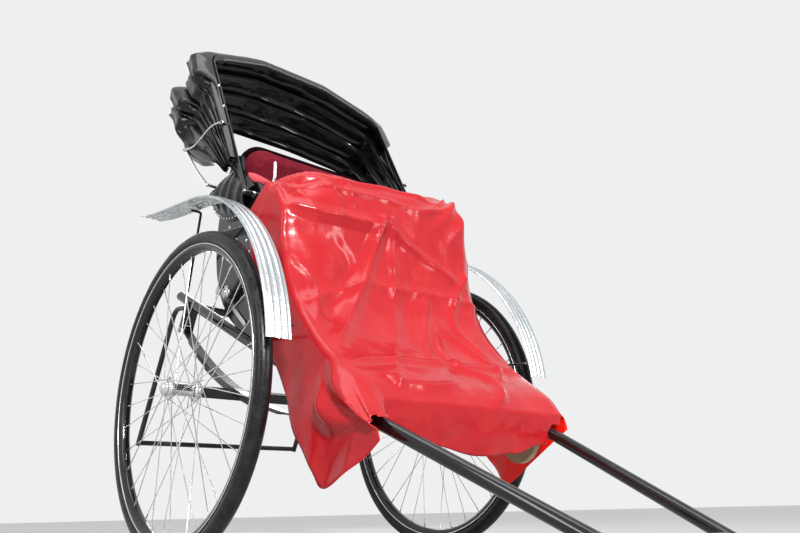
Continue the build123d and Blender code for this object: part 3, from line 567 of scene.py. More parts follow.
class FinishSettings(PropertyGroup):
    """Colours of the rickshaw's finishes."""

    lacquer: colour_setting("Lacquer", "Colour of the lacquered wood", (0.0045, 0.0045, 0.0055))
    iron: colour_setting("Iron", "Colour of the enamelled iron", (0.006, 0.006, 0.007))
    plating: colour_setting("Plating", "Colour of the bright plated parts", (0.7, 0.7, 0.72))
    steel: colour_setting("Steel", "Colour of the polished mudguards", (0.66, 0.69, 0.71))
    rubber: colour_setting("Rubber", "Colour of the tyres", (0.006, 0.006, 0.007))
    leather: colour_setting(
        "Hood", "Colour of the hood's coated cloth", (0.0035, 0.0035, 0.0045))
    vinyl: colour_setting("Lap cover", "Colour of the lap cover's face", (0.95, 0.010, 0.005))
    # Painted shade: the lap cover's underside is a darker copy of the face's red, standing in for the shade on the
    # sheet's back.
    vinyl_under_painted_shade: colour_setting(
        "Lap cover underside", "Colour of the lap cover's back", (0.32, 0.008, 0.012))
    velvet: colour_setting("Velvet", "Colour of the seat's velvet", (0.085, 0.003, 0.009))
    arm_velvet: colour_setting("Arm velvet", "Colour of the arm pads", (0.38, 0.04, 0.05))
    wood: colour_setting("Wood", "Colour of the floor boards", (0.3, 0.17, 0.085))


class RICKSHAW_OT_finishes(Operator):
    """Makes the finishes and puts them on the solids that stay as they are"""

    bl_idname = "rickshaw.finishes"
    bl_label = "Finishes"

    def execute(self, context):
        colours = context.scene.rickshaw_finish
        FINISHES.update(
            black_lacquer=lacquer_finish(colours),
            black_iron=iron_finish(colours),
            plated_iron=plated_finish(colours),
            polished_steel=polished_finish(colours),
            tyre_rubber=rubber_finish(colours),
            hood_leather=leather_finish(colours),
            red_vinyl=vinyl_finish("red_vinyl", colours.vinyl, (0.93, 0.035, 0.028)),
            # The underside's vinyl is the face's vinyl in a darker red: painted shade.
            red_under=vinyl_finish("red_vinyl_under", colours.vinyl_under_painted_shade, (0.42, 0.02, 0.022)),
            # Each velvet's second colour is lighter: partly wear, partly painted sheen.
            red_velvet=velvet_finish("red_velvet", colours.velvet, (0.17, 0.008, 0.018)),
            arm_velvet=velvet_finish("arm_velvet", colours.arm_velvet, (0.52, 0.1, 0.11)),
            floor_wood=wood_finish(colours),
            thread=thread_finish(),
        )
        for row in frame["record"]["subparts"]:
            node = frame["nodes"][row["node"]]
            node.data.materials.clear()
            node.data.materials.append(FINISHES[row["material_slot"]])
        return {"FINISHED"}


# Stage

class StageSettings(PropertyGroup):
    """Floor, light and camera."""

    light: FloatProperty(
        name="Light", description="Strength of the surroundings' light", default=0.44, min=0)
    key: FloatProperty(
        name="Key light", description="Strength of the main light, from ahead and above",
        default=4.9, min=0)
    fill: FloatProperty(
        name="Fill light", description="Power of the lamp above", default=52.0, min=0)
    floor: colour_setting("Floor", "Colour of the floor", (0.44, 0.436, 0.427))
    lens: FloatProperty(
        name="Lens", description="Focal length on a 36 mm wide frame", default=33.18, min=1,
        unit="CAMERA")


# The photograph's camera: its place, with the second number measured from the axle, and the
# directions that it looks in and that lie to its right.
CAMERA_PLACE = (-1.692, -2.402, 0.149)
CAMERA_AHEAD = (0.6252, 0.7141, 0.3148)
CAMERA_OVER = (0.7569, -0.6531, -0.0217)
FRAME_WIDTH_MM = 36
LAMP_TARGET = Vector((0, 0, 1))
FLOOR_R = 40
FLOOR_SIDES = 64
SHOWN_BACKGROUND = (0.86, 0.865, 0.87, 1)
SKY_STOPS = (
    (0.0, (0.22, 0.22, 0.2222)), (0.46, (0.30, 0.30, 0.303)),
    (0.56, (0.55, 0.55, 0.5555)), (1.0, (1.25, 1.25, 1.2625)),
)


def lamp(name, place, size, power, colour=(1, 1, 1)):
    """A panel of two sizes in metres, or a sun of one size in degrees, aimed at the body."""
    data = bpy.data.lights.new(name, "AREA" if hasattr(size, "__len__") else "SUN")
    if data.type == "AREA":
        data.shape = "RECTANGLE"
        data.size, data.size_y = size
    else:
        data.angle = radians(size)
    data.energy = power
    data.color = colour
    thing = new_object(name, data)
    thing.location = place
    thing.rotation_euler = (LAMP_TARGET - Vector(place)).to_track_quat("-Z", "Y").to_euler()


def make_floor(settings):
    """A wide pale disc, a little uneven in tone."""
    made = Finish("stage_floor")
    lift = made.blend_colour(made.noise(0.8, 3, 0.5) * 0.04, settings.floor, (0.62, 0.61, 0.6))
    finish = made.finish(Base_Color=lift, Roughness=0.7)
    ring = [(FLOOR_R * cos(turn), FLOOR_R * sin(turn), 0) for turn in once_round(FLOOR_SIDES)]
    mesh_object("stage_floor", ring, [tuple(range(FLOOR_SIDES))], [finish])


def make_surroundings(settings):
    """Soft light that is brighter above, and a pale background where it is seen or mirrored."""
    world = bpy.data.worlds.new("surroundings")
    bpy.context.scene.world = world
    made = Shading(world)
    height = made.add("SeparateXYZ", None, {0: made.add("TexCoord", out="Generated")}, 2)
    sky = made.add("ValToRGB", {"stops": SKY_STOPS}, {0: height * 0.5 + 0.5})
    lit = made.add("Background", None, {"Color": sky, "Strength": settings.light})
    seen = made.add("Background", None, {"Color": SHOWN_BACKGROUND})
    shown = made.add("LightPath", out="Is Camera Ray")
    for kind in ("Is Glossy Ray", "Is Transmission Ray"):
        shown = shown.math("MAXIMUM", shown, made.add("LightPath", out=kind))
    mixed = made.add("MixShader", None, {0: shown, 1: lit, 2: seen})
    made.add("OutputWorld", None, {"Surface": mixed})


def make_lamps(settings):
    """A main light from ahead and above, and softer panels on every side."""
    fill = settings.fill
    lamp("lamp_key", (-1.7, -3.3, 2.9), 7.0, settings.key)
    lamp("lamp_above", (-0.8, -0.6, 4.6), (2.6, 2.0), fill, (0.93, 0.965, 1))
    lamp("lamp_right", (-4.2, -0.6, 2.2), (0.7, 2.6), fill * 0.9)
    lamp("lamp_front", (1.6, -4.4, 2.4), (1.0, 2.6), fill * 2.0)
    lamp("lamp_rear", (1.4, 4.4, 2.8), (2.2, 1.4), fill)


def make_camera(settings):
    """The photograph's point of view, close to the floor at the right front."""
    eye = bpy.data.cameras.new("photo_camera")
    eye.lens = settings.lens
    eye.sensor_width = FRAME_WIDTH_MM
    camera = new_object("photo_camera", eye)
    ahead, over = Vector(CAMERA_AHEAD).normalized(), Vector(CAMERA_OVER).normalized()
    turn = Matrix((over, over.cross(ahead).normalized(), -ahead)).transposed()
    place = Vector(CAMERA_PLACE) + Vector((0, AXLE_Y, 0))
    camera.matrix_world = Matrix.Translation(place) @ turn.to_4x4()
    bpy.context.scene.camera = camera


class RICKSHAW_OT_stage(Operator):
    """Sets up the floor, the lamps, the surroundings and the camera"""

    bl_idname = "rickshaw.stage"
    bl_label = "Stage"

    def execute(self, context):
        settings = context.scene.rickshaw_stage
        make_floor(settings)
        make_surroundings(settings)
        make_lamps(settings)
        make_camera(settings)
        context.scene.view_settings.view_transform = "Standard"
        return {"FINISHED"}


# Wheels

class WheelSettings(PropertyGroup):
    """Sizes of the wheels' finish."""

    tyre: length_setting("Tyre", "Radius of the tyre's section", 0.027)
    spoke: length_setting("Spoke", "Radius of a spoke", 0.0017)
    edge: length_setting("Rim edge", "Radius of the rim's bright rolled edge", 0.0028)


WHEEL_SIDES = 160
TYRE_STEPS = 40
TYRE_LINE = 0.012
TYRE_TREAD = 0.02
RIM_TOP = 0.5124
RIM_HALF = 0.021
RIM_WELL = 0.4856
RIM_SHEET = 0.0032
EDGE_SIDES = 12
HUB_FLANGE_X = 0.048
HUB_FLANGE_R = 0.039
SPOKES_A_SIDE = 18
SPOKE_SWEEP = radians(68)
SPOKE_SIDES = 8
# A spoke's foot and elbow as (out, up) from the flange's middle and rim, on either face of it,
# and how far out its head lies from the wheel's plane, less or more by the second number.
SPOKE_FOOT = (0.0048, -0.0036)
SPOKE_ELBOW = (-0.004, -0.0045)
SPOKE_HEAD = (0.004, 0.003)
SPOKE_SEAT = 0.0003
SPOKE_HOLE_R = 0.0385
# Outlines as (along, radius): the hub, a spoke's ferrule and button, and the rim of its hole.
HUB_PROFILE = (
    (-0.066, 0.0101), (-0.066, 0.019), (-0.0645, 0.0207), (-0.052, 0.0225), (-0.0503, 0.0245),
    (-0.0500, 0.037), (-0.0492, 0.0388), (-0.0468, 0.0388), (-0.046, 0.037), (-0.0457, 0.027),
    (-0.040, 0.0228), (-0.020, 0.0212), (0.0, 0.021), (0.020, 0.0212), (0.040, 0.0228),
    (0.0457, 0.027), (0.046, 0.037), (0.0468, 0.0388), (0.0492, 0.0388), (0.0500, 0.037),
    (0.0503, 0.0255), (0.053, 0.0243), (0.056, 0.0236), (0.0575, 0.0226), (0.059, 0.0236),
    (0.064, 0.024), (0.0665, 0.0228), (0.070, 0.0205), (0.0745, 0.0172), (0.0775, 0.0125),
    (0.0788, 0.0118), (0.0794, 0.0085), (0.0800, 0.0),
)
FERRULE = ((0.024, 0.0019), (0.021, 0.0028), (0.004, 0.0032), (0.0, 0.0036))
SPOKE_BUTTON = ((0.0, 0.0), (0.0, 0.0032), (0.0012, 0.0028), (0.002, 0.0))
SPOKE_HOLE = ((-0.001, 0.0026), (0.0004, 0.0024), (0.0009, 0.0012), (0.001, 0))


def wheel_point(side, along, radius, turn):
    """A point by its distance out from the wheel's plane, its radius and its angle."""
    return Vector((
        side * (WHEEL_X + along), AXLE_Y + radius * cos(turn), WHEEL_R + radius * sin(turn),
    ))


def turned(shape, side, profile, sides=WHEEL_SIDES, closed=True):
    """A profile turned about one wheel's axle."""
    shape.lathe((side * WHEEL_X, AXLE_Y, WHEEL_R), (side, 0, 0), profile, sides, closed)


def make_tyre(side, name, settings):
    """A solid tyre with a flat tread and a moulded line on each wall."""
    profile = []
    for turn in once_round(TYRE_STEPS):
        tread = smooth_step(cos(turn), 0.55, 0.9)
        wall = 1 + TYRE_LINE * exp(-((cos(turn) - 0.45) / 0.08) ** 2)
        radius = settings.tyre * wall * (1 - TYRE_TREAD * tread)
        out = WHEEL_R - settings.tyre + min(cos(turn) * radius, settings.tyre)
        profile.append((sin(turn) * radius * 0.99, out))
    shape = Shape()
    turned(shape, side, profile)
    shape.settled(f"tyre_{name}_rubber", "tyre_rubber", f"wheel_{name}", f"tyre_{name}")


def make_rim(side, name, settings):
    """Lacquered rim channel with a rolled bright edge on both faces."""
    outer = [
        (RIM_HALF, RIM_TOP), (RIM_HALF + 0.0008, RIM_TOP - 0.006),
        (RIM_HALF - 0.001, RIM_TOP - 0.013), (RIM_HALF - 0.006, RIM_WELL + 0.0055),
        (RIM_HALF - 0.011, RIM_WELL + 0.001), (0.0, RIM_WELL),
    ]
    outer += [(-along, radius) for along, radius in reversed(outer[:-1])]
    inner = [(along * 0.84, radius + RIM_SHEET) for along, radius in reversed(outer[1:-1])]
    shape = Shape()
    turned(shape, side, outer + inner)
    shape.settled(
        f"rim_{name}_lacquer", "black_lacquer", f"wheel_{name}", f"rim_{name}", sharp=60)
    edges = Shape()
    for face in (-1, 1):
        turned(edges, side, [(
            face * (RIM_HALF - 0.0002) + settings.edge * cos(turn),
            RIM_TOP - 0.0022 + settings.edge * 0.9 * sin(turn),
        ) for turn in once_round(EDGE_SIDES)])
    edges.settled(f"rim_{name}_edges", "plated_iron", f"wheel_{name}")


def make_spokes(side, name, settings):
    """Crossed wires with a bent head at the flange and a ferrule at the rim."""
    pitch = 2 * pi / SPOKES_A_SIDE
    shape = Shape()
    for flange in (-1, 1):
        for number in range(SPOKES_A_SIDE):
            lead = 1 if number % 2 else -1
            rim_turn = number * pitch + (pitch / 2 if flange > 0 else 0)
            hub_turn = rim_turn - lead * SPOKE_SWEEP
            foot, elbow = (
                wheel_point(side, flange * (HUB_FLANGE_X + lead * out), HUB_FLANGE_R + up, hub_turn)
                for out, up in (SPOKE_FOOT, SPOKE_ELBOW)
            )
            head_out = flange * (SPOKE_HEAD[0] + lead * SPOKE_HEAD[1])
            head = wheel_point(side, head_out, RIM_WELL - SPOKE_SEAT, rim_turn)
            ahead = (head - foot).normalized()
            path = [elbow, foot - ahead * 0.001, foot + ahead * 0.004, head - ahead * 0.022]
            shape.tube(path, settings.spoke, SPOKE_SIDES)
            shape.tube(
                [head - ahead * back for back, _ in FERRULE], [radius for _, radius in FERRULE],
                SPOKE_SIDES)
            shape.lathe(elbow, elbow - foot, SPOKE_BUTTON, SPOKE_SIDES)
    shape.settled(
        f"spokes_{name}_wire", "plated_iron", f"wheel_{name}", f"spokes_{name}",
        slot="polished_steel")


def make_hub(side, name):
    """A flanged hub with a rounded rim round each spoke's hole."""
    shape = Shape()
    turned(shape, side, HUB_PROFILE, 64, closed=False)
    for flange in (-HUB_FLANGE_X, HUB_FLANGE_X):
        for number in range(SPOKES_A_SIDE):
            turn = 2 * pi * (number + 0.5) / SPOKES_A_SIDE
            place = wheel_point(side, flange, SPOKE_HOLE_R, turn)
            out = wheel_point(side, flange, WHEEL_R, turn) - place
            shape.lathe(place, out, SPOKE_HOLE, 6)
    shape.settled(
        f"hub_{name}_turned", "plated_iron", f"wheel_{name}", f"hub_{name}", sharp=45)


class RICKSHAW_OT_wheels(Operator):
    """Turns the tyres, rims and hubs and laces the spokes"""

    bl_idname = "rickshaw.wheels"
    bl_label = "Wheels"

    def execute(self, context):
        settings = context.scene.rickshaw_wheel
        for name, side in SIDES.items():
            make_tyre(side, name, settings)
            make_rim(side, name, settings)
            make_spokes(side, name, settings)
            make_hub(side, name)
        return {"FINISHED"}


# Mudguards

class MudguardSettings(PropertyGroup):
    """Sizes of the mudguards' sheet."""

    width: length_setting("Width", "Width of the strip", 0.088)
    rib: length_setting("Rib", "Height of the three ribs", 0.0036)
    sheet: length_setting("Sheet", "Thickness of the sheet", 0.0022)


MUDGUARD_R = 0.692
MUDGUARD_CENTRE = (0.085, 0.014)
MUDGUARD_X = 0.586
MUDGUARD_FRONT = radians(175.4)
MUDGUARD_CREST = radians(98.3)
MUDGUARD_COLUMNS = 56
MUDGUARD_LIFT = 0.0025
ARC_STEPS, FLAT_STEPS, TAIL_STEPS = 84, 10, 12
TAIL_FLAT = 0.215
TAIL_BEND_R = 2.9
TAIL_BEND_TURN = radians(5.1)
RIB_PITCH = 0.0225
RIB_WIDTH = 0.0042
LIP_WIDTH = 0.005
LIP_DEPTH = 0.006


def mudguard_line():
    """Points and outward normals along the strip's middle, from its front end to its tail."""
    centre = Vector((0, AXLE_Y + MUDGUARD_CENTRE[0], WHEEL_R + MUDGUARD_CENTRE[1]))
    line = []
    for share in shares(ARC_STEPS)[:-1]:
        turn = MUDGUARD_FRONT + (MUDGUARD_CREST - MUDGUARD_FRONT) * share
        out = Vector((0, cos(turn), sin(turn)))
        line.append((centre + out * MUDGUARD_R, out))
    along = Vector((0, sin(MUDGUARD_CREST), -cos(MUDGUARD_CREST)))
    out = Vector((0, cos(MUDGUARD_CREST), sin(MUDGUARD_CREST)))
    crest = centre + out * MUDGUARD_R
    for share in shares(FLAT_STEPS)[:-1]:
        line.append((crest + along * TAIL_FLAT * share, out))
    bend_centre = crest + along * TAIL_FLAT + out * TAIL_BEND_R
    for share in shares(TAIL_STEPS):
        turn = TAIL_BEND_TURN * share
        normal = out * cos(turn) - along * sin(turn)
        line.append((bend_centre - normal * TAIL_BEND_R, normal))
    return line


def make_mudguard(side, name, settings):
    """A ribbed strip with turned edges; its tail opens out flat at the end."""
    line = mudguard_line()
    half = settings.width / 2
    outer, inner = [], []
    for index, (point, out) in enumerate(line):
        tail = smooth_step(index, len(line) - 10, len(line) - 1)
        upper, lower = [], []
        for share in shares(MUDGUARD_COLUMNS):
            across = settings.width * (share - 0.5)
            height = MUDGUARD_LIFT
            for rib in (-1, 0, 1):
                near = (across - rib * RIB_PITCH) / RIB_WIDTH
                height += settings.rib * exp(-near * near)
            lip = smooth_step(abs(across), half - LIP_WIDTH, half)
            height -= LIP_DEPTH * lip * (1 - 0.7 * tail)
            place = point + Vector((side * MUDGUARD_X + across, 0, 0))
            upper.append(place + out * height)
            lower.append(place + out * (height - settings.sheet))
        outer.append(upper)
        inner.append(lower)
    shape = Shape()
    shape.plate(outer, inner)
    shape.settled(
        f"mudguard_{name}_strip", "polished_steel", "carriage", f"mudguard_{name}", sharp=60)


class RICKSHAW_OT_mudguards(Operator):
    """Rolls the ribbed mudguard strips"""

    bl_idname = "rickshaw.mudguards"
    bl_label = "Mudguards"

    def execute(self, context):
        for name, side in SIDES.items():
            make_mudguard(side, name, context.scene.rickshaw_mudguard)
        return {"FINISHED"}


# Hood

class HoodSettings(PropertyGroup):
    """Sizes of the hood's cloth and bows."""

    cloth: length_setting("Cloth", "Thickness of the coated cloth", 0.0016)
    roll: length_setting("Roll", "Radius of the folds' corners past the shoulders", 0.022)
    pleat: length_setting("Pleat", "How far a fold stands out along the legs", 0.013)
    sag: FloatProperty(
        name="Sag", description="Degrees that the rear cloth hangs below its bow on the legs",
        default=8.5)
    binding: length_setting("Binding", "Width of the leather bound round the front bow", 0.044)


# The bows turn on one pin. Each lies at its own angle in degrees, and each is a step wider than
# the one behind it.
PIVOT_Y, PIVOT_Z = 0.220, 0.712
BOW_ANGLES = (38.0, 32.0, 26.0, 20.0)
REAR_CLOTH_ANGLE = 15.0
BOW_FIRST_X = BODY_HALF + 0.0075
BOW_STEP = 0.0065
BOW_T = 0.005
FRONT_BOW_X = BOW_FIRST_X + 3 * BOW_STEP + BOW_T
BOW_REACH = 0.876
BOW_CROWN = 0.118
CROWN_SHARE = 0.38
BOW_CORNER_R = 0.110
CLOTH_X = BOW_FIRST_X + 4 * BOW_STEP + 0.0025
IRON_X = CLOTH_X + 0.019

# A fold stands out by its own distance between its foot and its shoulder, which are measured
# along the bows, and droops where it is nearly upright.
ROLL_STANDS = (0.084, 0.046, 0.092, 0.060)
ROLL_IN, ROLL_FOOT, ROLL_OUT = 0.690, 0.735, 0.922
ROLL_DENT = 0.10
ROLL_DROOP = 0.045
CROWN_R = 0.45
FOLD_START = 0.19
FOLD_STEPS = 30
FOLD_PLACES = 250

SLEEVE_HALF = 0.0088
SLEEVE_CORNERS = 10
SLEEVE_START, SLEEVE_PITCH = 0.045, 0.014
SLEEVE_DEPTH, SLEEVE_TOP, HEM_START = 0.0056, 0.010, 0.016
STITCH_ROWS = (0.006, 0.012)
STITCH_PITCH = 0.0045
STITCH_START = 0.875
STITCH_R = 0.0006
SKIRT_TOP = ((0.205, 0.745), (0.30, 0.775), (0.40, 0.775), (0.478, 0.735), (0.515, 0.665))
SKIRT_FOOT = ((0.222, 0.640), (0.285, 0.600), (0.37, 0.578), (0.46, 0.588), (0.535, 0.615))
SKIRT_STEPS, SKIRT_ROWS = 18, 24
SKIRT_GATHERS = 6
SKIRT_SHEET = 0.0018
SKIRT_GAP = 0.009
SKIRT_BELLY = 0.027
SKIRT_FOLD = 0.0065
SKIRT_SOFT = 0.006


def hood_point(x, along, angle):
    """A point at a distance along a bow's plane that lies at the given angle, in degrees."""
    turn = radians(angle)
    return ride(x, PIVOT_Y + along * cos(turn), PIVOT_Z + along * sin(turn))


def hood_across(place):
    """Unit vector square to a bow's plane, towards the higher bows."""
    angle = BOW_ANGLES[place]
    return (hood_point(0, 1, angle + 90) - hood_point(0, 0, angle)).normalized()


def rounded(corners, radius, steps):
    """A line through flat corners, each rounded by one radius or by its own."""
    corners = [Vector(corner) for corner in corners]
    radii = radius if hasattr(radius, "__len__") else [radius] * (len(corners) - 2)
    line = [corners[0]]
    for radius, before, corner, after in zip(radii, corners, corners[1:], corners[2:]):
        back, ahead = (before - corner).normalized(), (after - corner).normalized()
        half = back.angle(ahead) / 2
        reach = min(radius / sin(half) * cos(half), 0.48 * (after - corner).length)
        centre = corner + (back + ahead).normalized() * hypot(reach, reach * sin(half) / cos(half))
        start, finish = corner + back * reach - centre, corner + ahead * reach - centre
        line += [centre + start.slerp(finish, share) * start.length for share in shares(steps)]
    return line + [corners[-1]]


def even(line, pitch):
    """The same line with points at an even pitch."""
    lengths = [0.0]
    for start, finish in zip(line, line[1:]):
        lengths.append(lengths[-1] + (finish - start).length)
    count = max(2, round(lengths[-1] / pitch))
    points, index = [], 0
    for share in shares(count):
        target = lengths[-1] * share
        while index < len(lengths) - 2 and lengths[index + 1] < target:
            index += 1
        span = lengths[index + 1] - lengths[index] or 1.0
        points.append(line[index].lerp(line[index + 1], (target - lengths[index]) / span))
    return points


def bow_line(half, start, pitch):
    """Right leg, crowned top and left leg of a bow in its own plane, with outward normals."""
    crest, top = CROWN_SHARE * half, BOW_REACH + BOW_CROWN
    corners = [
        (-half, start), (-half, BOW_REACH), (-crest, top), (crest, top), (half, BOW_REACH),
        (half, start),
    ]
    points = even(rounded(corners, BOW_CORNER_R, 12), pitch)
    line = []
    for index, point in enumerate(points):
        ahead = heading(points, index)
        line.append((point, Vector((-ahead.y, ahead.x)).normalized()))
    return line


def fold_lines(place, settings):
    """A fold's line where it is fixed to the bows, and the line of its middle, evenly matched."""
    crest, reach = CROWN_SHARE * CLOTH_X, BOW_REACH + 0.004
    near, far = CLOTH_X + settings.pleat, CLOTH_X + ROLL_STANDS[place]
    small = settings.roll
    fixed = [(-CLOTH_X, FOLD_START), (-CLOTH_X, reach), (-crest, reach + BOW_CROWN)]
    middle = [
        (-near, FOLD_START), (-near, ROLL_IN), (-far, ROLL_FOOT), (-far, ROLL_OUT - ROLL_DROOP),
        (-crest, ROLL_OUT + BOW_CROWN),
    ]
    lines = []
    for half, radii in ((fixed, [0.100, 0.100]), (middle, [small * 2, small, small, CROWN_R])):
        corners = half + [(-x, y) for x, y in half[::-1]]
        lines.append(even(rounded(corners, radii + radii[::-1], 10), 0.001))
    return [
        [line[round(share * (len(line) - 1))] for line in lines] for share in shares(FOLD_PLACES)
    ]


def fold_shape(share, end):
    """How far a fold stands out across it: a full roll, dented where its flat end shows."""
    round_part = (1 - abs(2 * share - 1) ** 3) ** (1 / 2.2)
    return round_part - ROLL_DENT * end * (1 - smooth_step(abs(2 * share - 1), 0.0, 0.6))


def make_fold(place, settings, low_angle):
    """The cloth between two bows, gathered into one fold that runs leg to leg."""
    angle = BOW_ANGLES[place]
    pairs = fold_lines(place, settings)
    outer = []
    for share in shares(FOLD_STEPS):
        row = []
        for fixed, middle in pairs:
            turn = angle + (low_angle - angle) * share
            low = 1 - smooth_step(fixed.y, 0.60, 0.72)
            end = smooth_step(abs(middle.x), CLOTH_X + 0.02, CLOTH_X + 0.045)
            spot = Vector((fixed.x * 6, fixed.y * 5, place * 3.1 + share * 1.2))
            ripple = 0.10 * noise.noise(spot * 1.4) + 0.05 * noise.noise(spot * 3.9)
            pleat = low * 0.8 * sin(share * pi * 3 + noise.noise(spot * 0.8) * 3.0)
            pleat *= min(1.0, 6 * share * (1 - share))
            lift = fold_shape(share, end) * (1 + ripple) + pleat
            flat = fixed.lerp(middle, max(lift, 0.0))
            droop = 0.20 * end * (low_angle - angle) * sin(pi * share)
            if place == len(BOW_ANGLES) - 1:
                hang = smooth_step(fixed.y, 0.22, 0.46) * (1 - smooth_step(fixed.y, 0.56, 0.80))
                droop -= settings.sag * hang * share ** 1.6
            swing = (low_angle - angle) * 0.07 * noise.noise(spot * 2.3) * sin(pi * share)
            row.append(hood_point(flat.x, flat.y, turn + swing + droop))
        outer.append(row)
    shape = Shape()
    shape.plate(outer, offset_grid(outer, -settings.cloth))
    piece = shape.object(f"hood_fold_{place + 1}", [FINISHES["hood_leather"]], sharp=70)
    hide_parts(f"hood_cloth_{place + 1}")
    if place < len(BOW_ANGLES) - 1:
        start = hood_point(0, 0.45, angle)
        finish = hood_point(0, 0.45, low_angle)
        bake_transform(piece)
    else:
        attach(piece, f"hood_{place + 1}")


def sleeve_ring(place, point, normal, half, inside, outside):
    """One turn of leather round a bow: flat faces with rounded corners."""
    ring = []
    middle, depth = (outside + inside) / 2, (outside - inside) / 2
    for step in range(SLEEVE_CORNERS * 2):
        turn = pi * step / SLEEVE_CORNERS
        across = half * abs(cos(turn)) ** 0.5 * (1 if cos(turn) > 0 else -1)
        out = middle + depth * abs(sin(turn)) ** 0.5 * (1 if sin(turn) > 0 else -1)
        flat = point + normal * out
        ring.append(hood_point(flat.x, flat.y, BOW_ANGLES[place]) + hood_across(place) * across)
    return ring


def make_sleeve(place, settings):
    """Leather sewn round a bow, deepened over the top of the front bow into a hem."""
    half = BOW_FIRST_X + (3 - place) * BOW_STEP + BOW_T
    line = bow_line(half, SLEEVE_START, SLEEVE_PITCH)
    rows = []
    for index, (point, normal) in enumerate(line):
        top = smooth_step(point.y, 0.80, 0.885)
        depth = -SLEEVE_DEPTH - SLEEVE_TOP * top
        if place == 0:
            depth -= top * (settings.binding - HEM_START)
        bump = 0.0006 * ruffle(index * 0.35, place, 0)
        outside = 0.0006 + 0.0012 * top + bump
        rows.append(sleeve_ring(place, point, normal, SLEEVE_HALF + bump, depth, outside))
    shape = Shape()
    shape.grid(rows, closed_columns=True)
    shape.settled(
        f"hood_bow_{place + 1}_sleeve", "hood_leather", f"hood_{place + 1}", sharp=60)


def make_stitches(settings):
    """Two rows of pale thread along the front bow's hem."""
    shape = Shape()
    line = [row for row in bow_line(FRONT_BOW_X, 0.7, STITCH_PITCH) if row[0].y > STITCH_START]
    for row_depth in STITCH_ROWS:
        for (start, first), (finish, second) in list(zip(line, line[1:]))[::2]:
            ends = []
            for point, normal in ((start, first), (finish, second)):
                flat = point - normal * (settings.binding - row_depth)
                middle = hood_point(flat.x, flat.y, BOW_ANGLES[0])
                ends.append(middle + hood_across(0) * SLEEVE_HALF)
            shape.tube(ends, STITCH_R, 5)
    shape.settled("hood_hem_stitches", "thread", "hood_1", slot="hood_leather")


def make_skirt(side, name):
    """Hood cloth gathered under the pin and nailed along the body's upper edge."""
    tops, feet = spline(SKIRT_TOP, SKIRT_STEPS), spline(SKIRT_FOOT, SKIRT_STEPS)
    rows = []
    for share in shares(SKIRT_ROWS):
        row = []
        for index, (top, foot) in enumerate(zip(tops, feet)):
            along = index / (len(tops) - 1)
            flat = top.lerp(foot, share)
            belly = sin(pi * min(share * 1.15, 1.0)) ** 0.8
            uneven = 2.5 * ruffle(along * 4, share * 1.5, side)
            gather = sin(along * 2 * pi * SKIRT_GATHERS + uneven) * (0.4 + 0.6 * share)
            soft = ruffle(along * 7, share * 4, 3 + side)
            out = SKIRT_GAP + belly * (SKIRT_BELLY + SKIRT_FOLD * gather + SKIRT_SOFT * soft)
            out *= 1 - 0.55 * smooth_step(share, 0.9, 1.0)
            row.append(ride(side * (BODY_HALF + out), flat.x, flat.y))
        rows.append(row)
    if side > 0:
        rows = [row[::-1] for row in rows]
    shape = Shape()
    shape.plate(rows, offset_grid(rows, -SKIRT_SHEET))
    piece = shape.settled(
        f"hood_skirt_{name}", "hood_leather", "carriage", "hood_skirts", sharp=60)


class RICKSHAW_OT_hood(Operator):
    """Folds the hood's cloth between its bows and binds the front bow"""

    bl_idname = "rickshaw.hood"
    bl_label = "Hood"

    def execute(self, context):
        settings = context.scene.rickshaw_hood
        for place, low_angle in enumerate(BOW_ANGLES[1:] + (REAR_CLOTH_ANGLE,)):
            make_fold(place, settings, low_angle)
        for place in range(len(BOW_ANGLES)):
            make_sleeve(place, settings)
        make_stitches(settings)
        for name, side in SIDES.items():
            make_skirt(side, name)
        return {"FINISHED"}


# Lap cover

class CoverSettings(PropertyGroup):
    """Sizes of the lap cover."""

    sheet: length_setting("Sheet", "Thickness of the vinyl with its lining", 0.0016)
    crease: FloatProperty(
        name="Creases", description="Height of the folded creases", default=1.0, min=0, max=2)


# Each row, from the hooks to the nose: the crown's (y, z), the body side's edge below it, then
# the right and the left hem.
COVER_ROWS = (
    ((0.116, 0.842), (0.100, 0.760), (0.130, 0.640), (0.130, 0.640)),
    ((0.060, 0.850), (0.050, 0.750), (0.095, 0.580), (0.095, 0.580)),
    ((0.000, 0.838), (0.000, 0.732), (0.050, 0.511), (0.050, 0.511)),
    ((-0.062, 0.793), (-0.048, 0.704), (-0.020, 0.451), (-0.020, 0.451)),
    ((-0.116, 0.718), (-0.088, 0.655), (-0.090, 0.391), (-0.090, 0.385)),
    ((-0.154, 0.647), (-0.118, 0.598), (-0.160, 0.331), (-0.160, 0.320)),
    ((-0.232, 0.536), (-0.200, 0.508), (-0.248, 0.256), (-0.248, 0.240)),
    ((-0.321, 0.442), (-0.307, 0.428), (-0.380, 0.160), (-0.350, 0.120)),
    ((-0.442, 0.371), (-0.441, 0.369), (-0.520, 0.070), (-0.455, 0.005)),
    ((-0.530, 0.342), (-0.530, 0.341), (-0.650, 0.008), (-0.535, -0.030)),
    ((-0.620, 0.323), (-0.620, 0.323), (-0.727, -0.019), (-0.611, -0.052)),
    ((-0.700, 0.305), (-0.700, 0.305), (-0.842, 0.105), (-0.680, 0.060)),
    ((-0.763, 0.272), (-0.763, 0.272), (-0.905, 0.198), (-0.792, 0.232)),
)
COVER_HALF = BODY_HALF + 0.018
COVER_ROUND = 0.011
INNER_HALF = COVER_HALF - COVER_ROUND
ROW_STEPS, ACROSS_STEPS, FLAP_STEPS, DROP_STEPS = 14, 144, 24, 18
# The right front corner reaches ahead and down over its shaft, between these places down the
# sheet and across it.
CORNER_REACH = 0.085
CORNER_FALL = 0.35
CORNER_DOWN = (1.06, 1.125)
CORNER_ACROSS = (0.36, 0.42)
